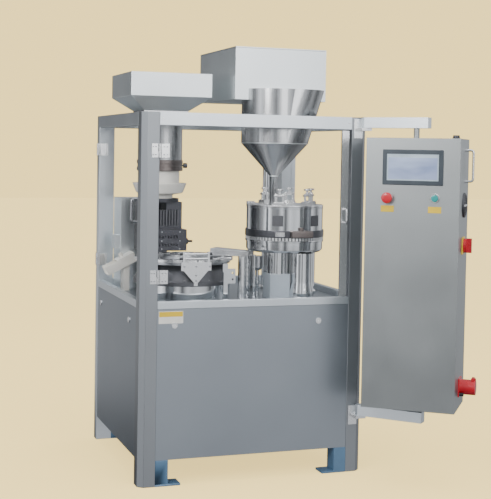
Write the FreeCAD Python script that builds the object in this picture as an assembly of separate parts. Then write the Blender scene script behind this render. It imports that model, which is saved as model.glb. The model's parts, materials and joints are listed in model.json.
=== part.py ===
import FreeCAD, Part
import math
import os

os.makedirs("parts", exist_ok=True)

# Automatic capsule filling machine.  Millimetres, +Z up, the front faces -Y.
# The origin is on the floor, at the centre of the four floor anchor holes.

# guard frame
HALF_X = 550.0
HALF_Y = 500.0
FRAME_TOP = 1700.0
POST = 80.0
POST_WALL = 4.0
POST_CHAMFER = 25.0
RAIL = 60.0
IN_X = HALF_X - POST
IN_Y = HALF_Y - POST

# feet and cabinet
FOOT_T = 10.0
FOOT_REACH = 120.0
ANCHOR_R = 7.0
ANCHOR_X = 380.0
ANCHOR_Y = 460.0
LEG = 60.0
FLOOR_GAP = 120.0
SHEET = 2.0
PANEL_D = 20.0
RIM_LOW = 810.0
RIM_TOP = 845.0
RIM_D = 30.0
LOCK_Z = 735.0
LOCK_R = 10.0
FRONT_LOCKS = (-388.0, 317.0)
LEFT_LOCKS = (-276.0, 340.0)
FRONT_FACE = -497.0
LEFT_FACE = -547.0
DECK_LOW = 805.0
DECK = 815.0
CAM_Y = 120.0
CAM_Z = 560.0

# doors
AXIS_OUT = 8.0
PANE_T = 8.0
PANE_LOW = 850.0
PANE_TOP = 1635.0
FRONT_PANE_W = 925.0
LEFT_PANE_W = 832.0
LEFT_RECESS = 32.0
HINGE_ZS = (925.0, 1495.0)
HINGE_H = 62.0
KNUCKLE_R = 7.0
PIN_R = 3.0
RUN = 0.05
LEAF = 3.0
LEAF_LOW = AXIS_OUT - LEAF

# capsule feed
FEED_X = -323.0
FEED_Y = 50.0
NECK_R = 110.0
HOPPER_RECT = (FEED_X - 200.0, FEED_X + 201.0, FEED_Y - 210.0, FEED_Y + 210.0)
FEED_RECT = (FEED_X - 112.0, FEED_X + 112.0, FEED_Y - 112.0, FEED_Y + 112.0)
FEED_WALL = 3.0
GUIDE_Y = FEED_Y + 150.0
GUIDE_XS = (FEED_X - 40.0, FEED_X + 40.0)
CHUTE_SLOPE = 27.0

# capsule turret
TURRET_X = -250.0
TURRET_Y = -150.0
SEGMENT_R = 238.0
SEGMENTS = 12
SHAFT_R = 20.0

# dosing unit
DOSE_X = 270.0
DOSE_Y = -150.0
BOWL_R = 190.0
TEETH = 72
CLAMPS = ((118.0, 135.0), (59.0, 135.0), (-5.0, 135.0), (-57.0, 135.0), (-120.0, 168.0))
ROD_ANGLES = (60.0, 120.0)
ROD_PITCH_R = 225.0
ROD_R = 12.0

# powder hopper
HOPPER_X = 175.0
HOPPER_Y = -240.0
HOPPER_R = 163.0
HOPPER_LEAN = 81.0
HOPPER_LOW = 1570.0
HOPPER_TOP = 1830.0
OUTLET_R = 20.0
BOX_LOW = 1777.0
BOX_TOP = 2023.0
BOX_RECT = (-48.0, 419.0, -290.0, 290.0)
HOPPER_WALL = 3.0

# swung control box
ARM_X = 530.0
ARM_Y = -530.0
ARM = 50.0
ARM_LEN = 312.0
SWIVEL_X = 702.0
SWIVEL_Y = -711.0
BOX_TURN = -37.2
BOX_W = 428.0
BOX_SHIFT = 10.0
BOX_D = 300.0
CTRL_LOW = 362.0
CTRL_TOP = 1603.0
TOP_ARM_Z = 1650.0
LOW_ARM_Z = 280.0
FRONT = -BOX_D / 2
SIDE = BOX_SHIFT + BOX_W / 2
LEFT_EDGE = BOX_SHIFT - BOX_W / 2
STOP_U = LEFT_EDGE + 103.0
START_U = LEFT_EDGE + 318.0
STOP_Z = 1330.0
START_Z = 1333.0
SWITCH_Z = 1115.0
SOCKET_Z = 462.0
SOCKET_END = SIDE + 68.0
SCREEN = (LEFT_EDGE + 78.0, LEFT_EDGE + 353.0, 1390.0, 1550.0)

UP = FreeCAD.Vector(0, 0, 1)


def vec(x, y, z):
    return FreeCAD.Vector(x, y, z)


def box(x0, x1, y0, y1, z0, z1):
    return Part.makeBox(x1 - x0, y1 - y0, z1 - z0, vec(x0, y0, z0))


def rod(x, y, z0, z1, r):
    return Part.makeCylinder(r, z1 - z0, vec(x, y, z0), UP)


def bar(start, along, length, r):
    """A round bar from start in the direction along."""
    return Part.makeCylinder(r, length, vec(*start), vec(*along))


def ring(x, y, z0, z1, r_out, r_in):
    return rod(x, y, z0, z1, r_out).cut(rod(x, y, z0, z1, r_in))


def prism(points, z0, z1):
    wire = Part.makePolygon([vec(x, y, z0) for x, y in points + points[:1]])
    return Part.Face(wire).extrude(vec(0, 0, z1 - z0))


def turned(x, y, profile):
    """Revolve an (r, z) outline about the vertical axis through x, y."""
    wire = Part.makePolygon([vec(x + r, y, z) for r, z in profile + profile[:1]])
    return Part.Face(wire).revolve(vec(x, y, 0), UP, 360)


def frustum(rect_low, z0, rect_top, z1):
    """A four-sided taper between two (x0, x1, y0, y1) rectangles."""
    wires = []
    for (x0, x1, y0, y1), z in ((rect_low, z0), (rect_top, z1)):
        corners = [vec(x0, y0, z), vec(x1, y0, z), vec(x1, y1, z), vec(x0, y1, z)]
        wires.append(Part.makePolygon(corners + corners[:1]))
    return Part.makeLoft(wires, True, True)


def shrunk(rect, wall):
    return (rect[0] + wall, rect[1] - wall, rect[2] + wall, rect[3] - wall)


def fused(first, *others):
    solid = first.fuse(list(others)) if others else first
    return solid.removeSplitter()


def polar(cx, cy, r, degrees):
    angle = math.radians(degrees)
    return cx + r * math.cos(angle), cy + r * math.sin(angle)


def save(name, *solids):
    shape = solids[0] if len(solids) == 1 else Part.makeCompound(list(solids))
    shape.exportStep("parts/" + name + ".step")


def corners():
    return [(sx, sy) for sx in (-1, 1) for sy in (-1, 1)]


# ---------------------------------------------------------------- frame

def post_outline(sx, sy, wall):
    """Square tube outline with its outer corner cut off, moved in by wall."""
    far_x, far_y = HALF_X - wall, HALF_Y - wall
    near_x, near_y = IN_X + wall, IN_Y + wall
    cut = POST_CHAMFER - wall * (2.0 - math.sqrt(2.0))
    points = [(near_x, near_y), (far_x, near_y), (far_x, far_y - cut), (far_x - cut, far_y), (near_x, far_y)]
    return [(sx * x, sy * y) for x, y in points]


def corner_post(sx, sy):
    outer = prism(post_outline(sx, sy, 0.0), 0.0, FRAME_TOP)
    return outer.cut(prism(post_outline(sx, sy, POST_WALL), FOOT_T, FRAME_TOP - POST_WALL))


def top_rails():
    low = FRAME_TOP - RAIL
    rails = []
    for side in (-1, 1):
        y0, y1 = sorted((side * HALF_Y, side * (HALF_Y - RAIL)))
        rails.append(box(-IN_X, IN_X, y0, y1, low, FRAME_TOP))
        x0, x1 = sorted((side * HALF_X, side * (HALF_X - RAIL)))
        rails.append(box(x0, x1, -IN_Y, IN_Y, low, FRAME_TOP))
    hollow = []
    for rail in rails:
        b = rail.BoundBox
        w = POST_WALL
        hollow.append(rail.cut(box(b.XMin + w, b.XMax - w, b.YMin + w, b.YMax - w, low + w, FRAME_TOP - w)))
    return hollow


def foot_plate(sx, sy):
    x0, x1 = sorted((sx * IN_X, sx * (IN_X - FOOT_REACH)))
    y0, y1 = sorted((sy * HALF_Y, sy * IN_Y))
    return box(x0, x1, y0, y1, 0, FOOT_T).cut(rod(sx * ANCHOR_X, sy * ANCHOR_Y, 0, FOOT_T, ANCHOR_R))


def base_leg(sx, sy):
    x0, x1 = sorted((sx * IN_X, sx * (IN_X - LEG)))
    y0, y1 = sorted((sy * HALF_Y, sy * IN_Y))
    return box(x0, x1, y0, y1, FOOT_T, FLOOR_GAP)


def rim_bands():
    bands = []
    for side in (-1, 1):
        y0, y1 = sorted((side * HALF_Y, side * (HALF_Y - RIM_D)))
        bands.append(box(-IN_X, IN_X, y0, y1, RIM_LOW, RIM_TOP))
        x0, x1 = sorted((side * HALF_X, side * (HALF_X - RIM_D)))
        bands.append(box(x0, x1, -IN_Y, IN_Y, RIM_LOW, RIM_TOP))
    return bands


def worktop():
    plate = fused(box(-IN_X, IN_X, -HALF_Y + RIM_D, HALF_Y - RIM_D, DECK_LOW, DECK),
                  box(-HALF_X + RIM_D, HALF_X - RIM_D, -IN_Y, IN_Y, DECK_LOW, DECK))
    for x, y in ((TURRET_X, TURRET_Y), (DOSE_X, DOSE_Y)):
        plate = plate.cut(rod(x, y, DECK_LOW, DECK, SHAFT_R + RUN))
    return plate


# ---------------------------------------------------------------- cabinet


def tray(x0, x1, z0, z1):
    """A folded sheet panel, its outer face at y = 0 and its folds behind it."""
    outer = box(x0, x1, 0, PANEL_D, z0, z1)
    return outer.cut(box(x0 + SHEET, x1 - SHEET, SHEET, PANEL_D, z0 + SHEET, z1 - SHEET))


def front_panel():
    panel = tray(-IN_X, IN_X, FLOOR_GAP, RIM_LOW)
    panel.translate(vec(0, FRONT_FACE, 0))
    for x in FRONT_LOCKS:
        panel = panel.cut(bar((x, FRONT_FACE, LOCK_Z), (0, 1, 0), SHEET, LOCK_R + RUN))
    return panel


def side_panel():
    """The left cover; the right one is its mirror image with no lock holes."""
    panel = tray(-IN_Y + 1.0, IN_Y - 1.0, FLOOR_GAP + 2.0, RIM_LOW)
    panel.rotate(vec(0, 0, 0), UP, -90)
    panel.translate(vec(LEFT_FACE, 0, 0))
    return panel


def left_panel():
    panel = side_panel()
    for y in LEFT_LOCKS:
        panel = panel.cut(bar((LEFT_FACE, y, LOCK_Z), (1, 0, 0), SHEET, LOCK_R + RUN))
    return panel


def rear_panel():
    panel = tray(-IN_X, IN_X, FLOOR_GAP, RIM_LOW)
    panel.rotate(vec(0, 0, 0), UP, 180)
    panel.translate(vec(0, -FRONT_FACE, 0))
    for row in range(8):
        z = 640.0 + 14.0 * row
        panel = panel.cut(box(-150, 150, -FRONT_FACE - SHEET, -FRONT_FACE, z, z + 4.0))
    return panel


def panel_lock():
    """Quarter-turn lock, its head outside the sheet and its tongue inside."""
    head = bar((0, -4, 0), (0, 1, 0), 4, 14)
    shank = bar((0, 0, 0), (0, 1, 0), 8, LOCK_R)
    tongue = box(-7, 7, 6, 9, -8, 30)
    slot = box(-9, 9, -4, -2, -1.2, 1.2)
    return fused(head, shank, tongue).cut(slot)


def placed_lock(x, y, turn):
    lock = panel_lock()
    lock.rotate(vec(0, 0, 0), UP, turn)
    lock.translate(vec(x, y, LOCK_Z))
    return lock


# ---------------------------------------------------------------- doors
# Doors are drawn with the hinge axis on the z axis, the post face at
# y = AXIS_OUT and the door running towards +x, then put in place.


def fixed_leaf(z0):
    mid = z0 + HINGE_H / 2
    plate = box(-37, -KNUCKLE_R - 1.5, LEAF_LOW, AXIS_OUT, z0, z0 + HINGE_H)
    strap = box(-KNUCKLE_R - 1.5, 0, LEAF_LOW, AXIS_OUT, z0, mid - 0.5)
    barrel = rod(0, 0, z0, mid - 0.5, KNUCKLE_R)
    return fused(plate, strap, barrel, rod(0, 0, z0, z0 + HINGE_H, PIN_R))


def moving_leaf(z0, recess):
    mid = z0 + HINGE_H / 2
    top = z0 + HINGE_H
    plate = box(KNUCKLE_R + 1.5, 45, LEAF_LOW, AXIS_OUT, z0, top)
    strap = box(0, KNUCKLE_R + 1.5, LEAF_LOW, AXIS_OUT, mid + 0.5, top)
    leaf = fused(plate, strap, rod(0, 0, mid + 0.5, top, KNUCKLE_R))
    if recess:
        web = box(42, 45, AXIS_OUT, AXIS_OUT + recess, z0, top)
        leaf = fused(leaf, web, box(45, 60, AXIS_OUT + recess - LEAF, AXIS_OUT + recess, z0, top))
    return leaf.cut(rod(0, 0, mid, top, PIN_R + RUN))


def place_front(shape):
    shape.translate(vec(-IN_X, -HALF_Y - AXIS_OUT, 0))
    return shape


def place_left(shape):
    shape.rotate(vec(0, 0, 0), UP, -90)
    shape.translate(vec(-HALF_X - AXIS_OUT, IN_Y, 0))
    return shape


def front_pane():
    return box(8, FRONT_PANE_W - 3, AXIS_OUT, AXIS_OUT + PANE_T, PANE_LOW, PANE_TOP)


def front_stile():
    """A channel gripping the free edge of the front pane."""
    edge = box(890, FRONT_PANE_W, AXIS_OUT - LEAF, AXIS_OUT + PANE_T + LEAF, PANE_LOW, PANE_TOP)
    return edge.cut(box(880, FRONT_PANE_W - 3, AXIS_OUT, AXIS_OUT + PANE_T, PANE_LOW, PANE_TOP))


def left_pane():
    """The recessed side pane, notched for the discharge chute."""
    face = AXIS_OUT + LEFT_RECESS
    pane = box(8, LEFT_PANE_W, face, face + PANE_T, PANE_LOW, PANE_TOP)
    return pane.cut(box(160, 275, face, face + PANE_T, PANE_LOW, 1060))


def bow_handle(x, face, reach, z0, z1, r):
    """A round bar grip on two stand-offs, on the face at y = face."""
    grip_y = face - reach
    grip = rod(x, grip_y, z0, z1, r)
    legs = [bar((x, grip_y, z), (0, 1, 0), reach, r * 0.85) for z in (z0 + r, z1 - r)]
    return fused(grip, *legs)


def fixed_panes():
    """Rear and right panes, resting on the rim bands under the rails."""
    y1 = HALF_Y - 2.0
    rear = box(-IN_X, IN_X, y1 - PANE_T, y1, RIM_TOP, FRAME_TOP - RAIL)
    x1 = HALF_X - RIM_D + PANE_T
    right = box(x1 - PANE_T, x1, -IN_Y, IN_Y, RIM_TOP, FRAME_TOP - RAIL)
    return [rear, right]


# ---------------------------------------------------------------- capsule feed


def capsule_hopper():
    low, mid, top = 1720.0, 1786.0, 1900.0
    x0, x1, y0, y1 = HOPPER_RECT
    outer = fused(frustum(FEED_RECT, low, HOPPER_RECT, mid), box(x0, x1, y0, y1, mid, top))
    inner_rect = shrunk(HOPPER_RECT, FEED_WALL)
    ix0, ix1, iy0, iy1 = inner_rect
    funnel = frustum(shrunk(FEED_RECT, FEED_WALL), low, inner_rect, mid)
    inner = fused(funnel, box(ix0, ix1, iy0, iy1, mid, top))
    return outer.cut(inner)


def capsule_neck():
    """Neck tube and the square flange that holds it under the hopper."""
    tube = ring(FEED_X, FEED_Y, 1480, 1712, NECK_R, NECK_R - FEED_WALL)
    x0, x1, y0, y1 = FEED_RECT
    flange = box(x0, x1, y0, y1, 1712, 1720).cut(rod(FEED_X, FEED_Y, 1712, 1720, NECK_R - FEED_WALL))
    return [tube, flange]


def capsule_collar():
    collar = ring(FEED_X, FEED_Y, 1426, 1480, 114, 66)
    stem = bar((FEED_X, FEED_Y, 1453), (1, 0, 0), 122, 5)
    knob = bar((FEED_X + 122, FEED_Y, 1453), (1, 0, 0), 18, 13)
    stem = stem.cut(rod(FEED_X, FEED_Y, 1426, 1480, 66))
    return fused(collar, stem, knob)


def capsule_cup():
    """Throat, open cup and the spigot that feeds the magazine."""
    x, y = FEED_X, FEED_Y
    cup = turned(x, y, [(60, 1284), (66, 1284), (66, 1308), (118, 1318), (134, 1366), (98, 1366),
                        (98, 1426), (92, 1426), (92, 1360), (60, 1330)])
    arm = box(x - 55, x + 55, y + 90, y + 165, 1340, 1352)
    return fused(cup, arm.cut(rod(x, y, 1340, 1352, 110)))


def feed_column():
    """Column and the two guide rods that stand on it."""
    x, y = FEED_X, FEED_Y
    column = box(x - 70, x + 70, y + 95, y + 165, DECK, 1136)
    return [column] + [rod(gx, GUIDE_Y, 1136, 1340, 10) for gx in GUIDE_XS]


def magazine_block():
    """Lifting block with upright slots, a feed cavity and two guide bores."""
    x, y = FEED_X, FEED_Y
    block = box(x - 105, x + 105, y - 45, y + 80, 1136.5, 1272)
    for index in range(12):
        sx = x - 82 + 14.5 * index
        block = block.cut(box(sx - 3, sx + 3, y - 45, y - 37, 1155, 1235))
    cavity = rod(x, y + 12, 1230, 1272, 62).cut(box(x - 70, x + 70, y + 68, y + 80, 1230, 1272))
    block = fused(block, box(x - 60, x + 60, y + 80, y + 165, 1180, 1210))
    for gx in GUIDE_XS:
        block = block.cut(rod(gx, GUIDE_Y, 1180, 1210, 10 + RUN))
    return block.cut(cavity)


def feed_ring():
    """Clear ring that rides on the magazine round the spigot."""
    x, y = FEED_X, FEED_Y
    return ring(x, y, 1272, 1290, 96, 72).cut(box(x - 100, x + 100, y + 80, y + 100, 1272, 1290))


def sorting_block():
    """Dark comb block under the magazine."""
    x, y = FEED_X, FEED_Y
    block = box(x - 105, x + 128, y - 60, y + 90, 1030, 1136)
    for index in range(12):
        sx = x - 82 + 14.5 * index
        for z in (1052, 1092):
            block = block.cut(box(sx - 3, sx + 3, y - 60, y - 50, z, z + 14))
    return block.cut(bar((x + 100, y, 1073), (1, 0, 0), 28, 8 + RUN))


def magazine_knob():
    stem = bar((FEED_X + 104, FEED_Y, 1073), (1, 0, 0), 32, 8)
    knob = bar((FEED_X + 128.5, FEED_Y, 1073), (1, 0, 0), 22, 15)
    return fused(stem, knob, bar((FEED_X + 150.5, FEED_Y, 1073), (1, 0, 0), 24, 6))


# ---------------------------------------------------------------- turret

def turret_drum():
    profile = [(SHAFT_R + RUN, 985), (SHAFT_R + RUN, 975), (168, 975), (217, 905), (217, DECK), (225, DECK),
               (225, 897), (242, 897), (242, 916), (234, 922), (212, 968), (184, 985)]
    return turned(TURRET_X, TURRET_Y, profile)


def turret_disc():
    """Disc, hub and drive spindle."""
    x, y = TURRET_X, TURRET_Y
    disc = rod(x, y, 992, 1004, 225)
    cap = turned(x, y, [(0, 1004), (110, 1004), (96, 1022), (0, 1022)])
    return fused(disc, rod(x, y, 985.5, 992, 60), rod(x, y, 700, 985.5, SHAFT_R), cap)


def capsule_segments():
    """Two-row capsule holders bolted round the disc."""
    segments = []
    span = 360.0 / SEGMENTS
    sector = ring(TURRET_X, TURRET_Y, 1004, 1018, SEGMENT_R, 178)
    for index in range(SEGMENTS):
        a0 = index * span + 1.0
        far = [polar(TURRET_X, TURRET_Y, 300, a0), polar(TURRET_X, TURRET_Y, 300, a0 + span - 2.0)]
        segments.append(sector.common(prism([(TURRET_X, TURRET_Y)] + far, 1000, 1020)))
    return segments


def station_bracket():
    """Front station: plate, gusset, foot and two tie rods."""
    plate = box(-335, -190, -408, -396, 972, 1012)
    triangle = [vec(-322, -404, 972), vec(-203, -404, 972), vec(-262, -404, 905), vec(-322, -404, 972)]
    gusset = Part.Face(Part.makePolygon(triangle)).extrude(vec(0, 8, 0))
    foot = box(-271, -253, -400, -388, 900, 922).cut(rod(TURRET_X, TURRET_Y, 890, 935, 242))
    lugs = [box(x - 5, x + 5, -408, -398, 1012, 1060) for x in (-322, -203)]
    ties = [bar((-340, -403, z), (1, 0, 0), 155, 4) for z in (1028, 1050)]
    return fused(plate, gusset, foot, *(lugs + ties))


def closing_station():
    """Wedge cover and the pillar that carries it."""
    outline = [vec(-100, 0, 1022), vec(95, 0, 1022), vec(95, 0, 1046), vec(-100, 0, 1056), vec(-100, 0, 1022)]
    cover = Part.Face(Part.makePolygon(outline)).extrude(vec(0, 92, 0))
    cover.rotate(vec(0, 0, 0), UP, -38)
    cover.translate(vec(-45, -232, 0))
    return [cover, rod(15, -250, DECK, 1030, 19).cut(cover)]


def ejector_group():
    """Spring stack and plain post between the turret and the dosing unit."""
    stack = [rod(52, -215, DECK, 1018, 8)]
    for index in range(9):
        z = DECK + 22.0 * index
        stack.append(rod(52, -215, z, z + 11, 15))
    post = fused(rod(83, -236, DECK, 1028, 7), rod(83, -236, DECK, 825, 12))
    link = box(-98, -58, -372, -364, 905, 975)
    for z in (925, 955):
        link = link.cut(bar((-72, -372, z), (0, 1, 0), 8, 5))
    carrier = fused(box(-118, -98, -376, -362, DECK, 960), box(-124, -98, -380, -358, 960, 1000))
    return [fused(*stack), post, fused(link, carrier)]


# ---------------------------------------------------------------- separator

def separator_housing():
    case = fused(box(-470, -250, 250, 415, DECK, 1280), box(-498, -470, 262, 330, 1020, 1090))
    return case.cut(box(-470 + SHEET, -250 - SHEET, 250 + SHEET, 415 - SHEET, DECK, 1280 - SHEET))


def discharge_chute():
    """Sloping open trough with a short cover, a knob and a foot."""
    trough = box(-165, 0, -40, 40, 0, 45).cut(box(-165, 0, -37, 37, 3, 45))
    cover = box(-95, 0, -40, 40, 45, 49)
    knob = rod(-60, 0, 49, 70, 11)
    chute = fused(trough, cover, knob)
    chute.rotate(vec(0, 0, 0), vec(0, 1, 0), -CHUTE_SLOPE)
    chute.translate(vec(-400, 205, 968))
    foot = box(-470, -440, 175, 235, DECK, 960)
    below = box(-700, 300, -60, 60, 0, 400)
    below.rotate(vec(0, 0, 0), vec(0, 1, 0), -CHUTE_SLOPE)
    below.translate(vec(-400, 205, 968))
    return fused(chute, foot.cut(below))


# ---------------------------------------------------------------- dosing unit

def dosing_pedestals():
    x, y = DOSE_X, DOSE_Y
    left = fused(box(150, 252, -285, -183, DECK, 935), rod(201, -234, 935, 1037, 49))
    flared = turned(312, -288, [(0, DECK), (60, DECK), (60, 850), (52, 900), (52, 1037), (0, 1037)])
    core = turned(x + 100, y + 70, [(0, DECK), (98, DECK), (98, 830), (90, 840), (90, 1037), (0, 1037)])
    cup = turned(125, -165, [(0, 945), (16, 945), (26, 958), (26, 1015), (0, 1015)])
    stem = rod(125, -165, DECK, 945, 8)
    sleeves = []
    for angle in ROD_ANGLES:
        rx, ry = polar(x, y, ROD_PITCH_R, angle)
        sleeves.append(ring(rx, ry, DECK, 1000, 22, ROD_R + RUN))
    core = core.cut(rod(*polar(x, y, ROD_PITCH_R, ROD_ANGLES[0]), DECK, 1040, 22.0))
    return [left, flared, core, fused(cup, stem)] + sleeves


def dosing_base():
    """Fixed lower bowl under the dosing disc."""
    inner = SHAFT_R + RUN
    profile = [(inner, 1037), (176, 1037), (BOWL_R, 1050), (BOWL_R, 1089), (BOWL_R + 5, 1089)]
    return turned(DOSE_X, DOSE_Y, profile + [(BOWL_R + 5, 1098), (inner, 1098)])


def dosing_disc():
    """Toothed dosing disc with its drive spindle."""
    x, y = DOSE_X, DOSE_Y
    disc = rod(x, y, 1098.5, 1113.5, BOWL_R + 4)
    notches = []
    for index in range(TEETH):
        nx, ny = polar(x, y, BOWL_R + 4, index * 360.0 / TEETH)
        notch = box(-7, 7, -3.0, 3.0, 1098.5, 1113.5)
        notch.rotate(vec(0, 0, 0), UP, index * 360.0 / TEETH)
        notch.translate(vec(nx, ny, 0))
        notches.append(notch)
    spindle = rod(x, y, 700, 1098.5, SHAFT_R)
    return fused(disc.cut(Part.makeCompound(notches)), spindle, rod(x, y, 1113.5, 1150, 45))


def powder_bowl():
    """Open bowl wall over the disc, with its dark lower band."""
    band = ring(DOSE_X, DOSE_Y, 1114, 1148, BOWL_R + 6, BOWL_R - 6)
    return fused(band, ring(DOSE_X, DOSE_Y, 1148, 1262, BOWL_R, BOWL_R - 4))


def scraper_housing():
    shape = fused(box(226, 338, -368, -300, 1114, 1150), rod(282, -348, 1150, 1166, 12))
    return shape.cut(rod(DOSE_X, DOSE_Y, 1110, 1170, BOWL_R + 6))


def tamping_head():
    """Lifting plate with two guide rods and the tamping pins."""
    x, y = DOSE_X, DOSE_Y
    parts = [rod(x, y, 1262.5, 1270.5, BOWL_R + 1)]
    hanging = []
    for angle in ROD_ANGLES:
        rx, ry = polar(x, y, ROD_PITCH_R, angle)
        parts.append(rod(rx, ry, 1255, 1276, 22))
        hanging.append(rod(rx, ry, 840, 1255, ROD_R))
        ear = box(150, ROD_PITCH_R, -16, 16, 1262.5, 1270.5)
        ear.rotate(vec(0, 0, 0), UP, angle)
        ear.translate(vec(x, y, 0))
        parts.append(ear)
    for angle, radius in CLAMPS:
        for offset in (-8.0, 0.0, 8.0):
            px, py = polar(x, y, radius, angle + offset)
            hanging.append(rod(px, py, 1122, 1262.5, 4))
    plate = fused(*parts).cut(rod(HOPPER_X, HOPPER_Y, 1250, 1280, OUTLET_R + 4))
    return [plate] + hanging


def tamping_clamps():
    """A clamp block, two posts, a bridge and a round knob over each pin group."""
    clamps = []
    for angle, radius in CLAMPS:
        block = box(-20, 20, -26, 26, 1270.5, 1286)
        posts = [rod(0, side * 18, 1286, 1312, 6) for side in (-1, 1)]
        bridge = box(-10, 10, -26, 26, 1312, 1321)
        knob = [rod(0, 0, 1321, 1340, 6), rod(0, 0, 1340, 1350, 18)]
        for piece in [block, bridge] + posts + knob:
            piece.rotate(vec(0, 0, 0), UP, angle)
            piece.translate(vec(*polar(DOSE_X, DOSE_Y, radius, angle), 0))
            clamps.append(piece)
    return clamps


# ---------------------------------------------------------------- powder hopper


def circle_wire(x, r, z):
    return Part.Wire(Part.Circle(vec(x, HOPPER_Y, z), UP, r).toShape())


def hopper_form(inset):
    """Upright drum joined to one that leans to +X, over a cone and tube."""
    r = HOPPER_R - inset
    top = HOPPER_TOP - inset
    share = (top - HOPPER_LOW) / (HOPPER_TOP - HOPPER_LOW)
    lean = Part.makeLoft([circle_wire(HOPPER_X, r, HOPPER_LOW),
                          circle_wire(HOPPER_X + HOPPER_LEAN * share, r, top)], True, True)
    drum = rod(HOPPER_X, HOPPER_Y, HOPPER_LOW, top, r)
    tip = OUTLET_R - inset
    cone = turned(HOPPER_X, HOPPER_Y, [(0, 1267), (tip, 1267), (tip, 1412), (r, HOPPER_LOW), (0, HOPPER_LOW)])
    return drum.fuse([lean, cone])


def powder_hopper():
    shell = hopper_form(0.0).cut(hopper_form(HOPPER_WALL))
    x0, x1, y0, y1 = BOX_RECT
    return shell.cut(box(x0, x1, y0, y1, BOX_LOW, BOX_TOP))


def hopper_box():
    """Square loading box, open at the top and over the hopper."""
    x0, x1, y0, y1 = BOX_RECT
    w = HOPPER_WALL
    case = box(x0, x1, y0, y1, BOX_LOW, BOX_TOP)
    case = case.cut(box(x0 + w, x1 - w, y0 + w, y1 - w, BOX_LOW + w, BOX_TOP))
    case = case.cut(hopper_form(w))
    knuckles = [bar((x, y1 + 6, BOX_TOP), (1, 0, 0), 30, 6) for x in (40, 300)]
    tabs = [box(x, x + 30, y1, y1 + 6, BOX_TOP - 18, BOX_TOP) for x in (40, 300)]
    pins = [bar((x, y1 + 6, BOX_TOP), (1, 0, 0), 58, 2.5) for x in (40, 300)]
    return fused(case, *(knuckles + tabs + pins))


def hopper_lid():
    x0, x1, y0, y1 = BOX_RECT
    plate = box(x0, x1, y0, y1, BOX_TOP + 1, BOX_TOP + 6)
    knuckles = [bar((x, y1 + 6, BOX_TOP), (1, 0, 0), 28, 6) for x in (70.5, 330.5)]
    tabs = [box(x, x + 28, y1 - 4, y1 + 6, BOX_TOP + 1, BOX_TOP + 6) for x in (70.5, 330.5)]
    lid = fused(plate, *(knuckles + tabs))
    for x in (70, 330):
        lid = lid.cut(bar((x, y1 + 6, BOX_TOP), (1, 0, 0), 30, 2.5 + RUN))
    return lid


def hopper_column():
    return fused(rod(295, 150, DECK, BOX_LOW, 33), rod(295, 150, DECK, DECK + 12, 60),
                 rod(295, 150, BOX_LOW - 12, BOX_LOW, 60))


# ---------------------------------------------------------------- drive


def cabinet_floor():
    return box(-IN_X, IN_X, FRONT_FACE + PANEL_D, -FRONT_FACE - PANEL_D, FLOOR_GAP, FLOOR_GAP + 6)


def index_units():
    """Two indexing gearboxes hung under the worktop."""
    units = []
    for x, y in ((TURRET_X, TURRET_Y), (DOSE_X, DOSE_Y)):
        case = box(x - 90, x + 90, y - 90, y + 90, 620, DECK_LOW)
        units.append(case.cut(rod(x, y, 700, DECK_LOW, SHAFT_R + RUN)))
    return units


def camshaft_bearings():
    blocks = []
    for x in (-420, 420):
        block = box(x - 15, x + 15, CAM_Y - 40, CAM_Y + 40, CAM_Z - 40, DECK_LOW)
        blocks.append(block.cut(bar((x - 15, CAM_Y, CAM_Z), (1, 0, 0), 30, 15 + RUN)))
    return blocks


def camshaft():
    shaft = bar((-440, CAM_Y, CAM_Z), (1, 0, 0), 880, 15)
    cams = []
    for index, x in enumerate((-330, -190, -50, 90, 230, 350)):
        cy = CAM_Y + 14 * math.cos(index * 1.1)
        cz = CAM_Z + 14 * math.sin(index * 1.1)
        cams.append(bar((x, cy, cz), (1, 0, 0), 18, 42))
    return fused(shaft, *cams)


def gear_motor():
    case = box(-330, -190, -60, 80, FLOOR_GAP + 6, 300)
    return fused(case, bar((-190, 10, 215), (1, 0, 0), 230, 70))


def vacuum_pump():
    base = box(120, 400, -120, 60, FLOOR_GAP + 6, 150)
    return fused(base, bar((130, -30, 240), (1, 0, 0), 250, 90))


# ---------------------------------------------------------------- control box

def place_control(shape):
    shape.rotate(vec(0, 0, 0), UP, BOX_TURN)
    shape.translate(vec(SWIVEL_X, SWIVEL_Y, 0))
    return shape


def arm_bracket(arm_low):
    """Post plate, lug and fixed pin under the pivot of one arm."""
    plate = box(478, 522, -HALF_Y - 6, -HALF_Y, arm_low - 50, arm_low + 42)
    lug = box(498, 550, ARM_Y - 20, -HALF_Y, arm_low - 14, arm_low - 0.5)
    lug = lug.cut(prism(post_outline(1, -1, 0.0), arm_low - 20, arm_low + 20))
    return fused(plate, lug, rod(ARM_X, ARM_Y, arm_low - 14, arm_low + 34, 10))


def swing_arm(arm_low, pin_above):
    """Square tube with a solid round end, a pivot bore and a box pin bore."""
    half = ARM / 2
    body = fused(box(0, ARM_LEN, -half, half, 0, ARM), rod(0, 0, 0, ARM, half))
    body = body.cut(box(30, ARM_LEN - POST_WALL, -half + 4, half - 4, 4, ARM - 4))
    body = body.cut(rod(0, 0, 0, 36, 10 + RUN))
    reach = math.hypot(SWIVEL_X - ARM_X, SWIVEL_Y - ARM_Y)
    z0, z1 = (0, 4) if pin_above else (ARM - 4, ARM)
    body = body.cut(rod(reach, 0, z0, z1, 10 + RUN))
    body.rotate(vec(0, 0, 0), UP, math.degrees(math.atan2(SWIVEL_Y - ARM_Y, SWIVEL_X - ARM_X)))
    body.translate(vec(ARM_X, ARM_Y, arm_low))
    return body


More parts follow.
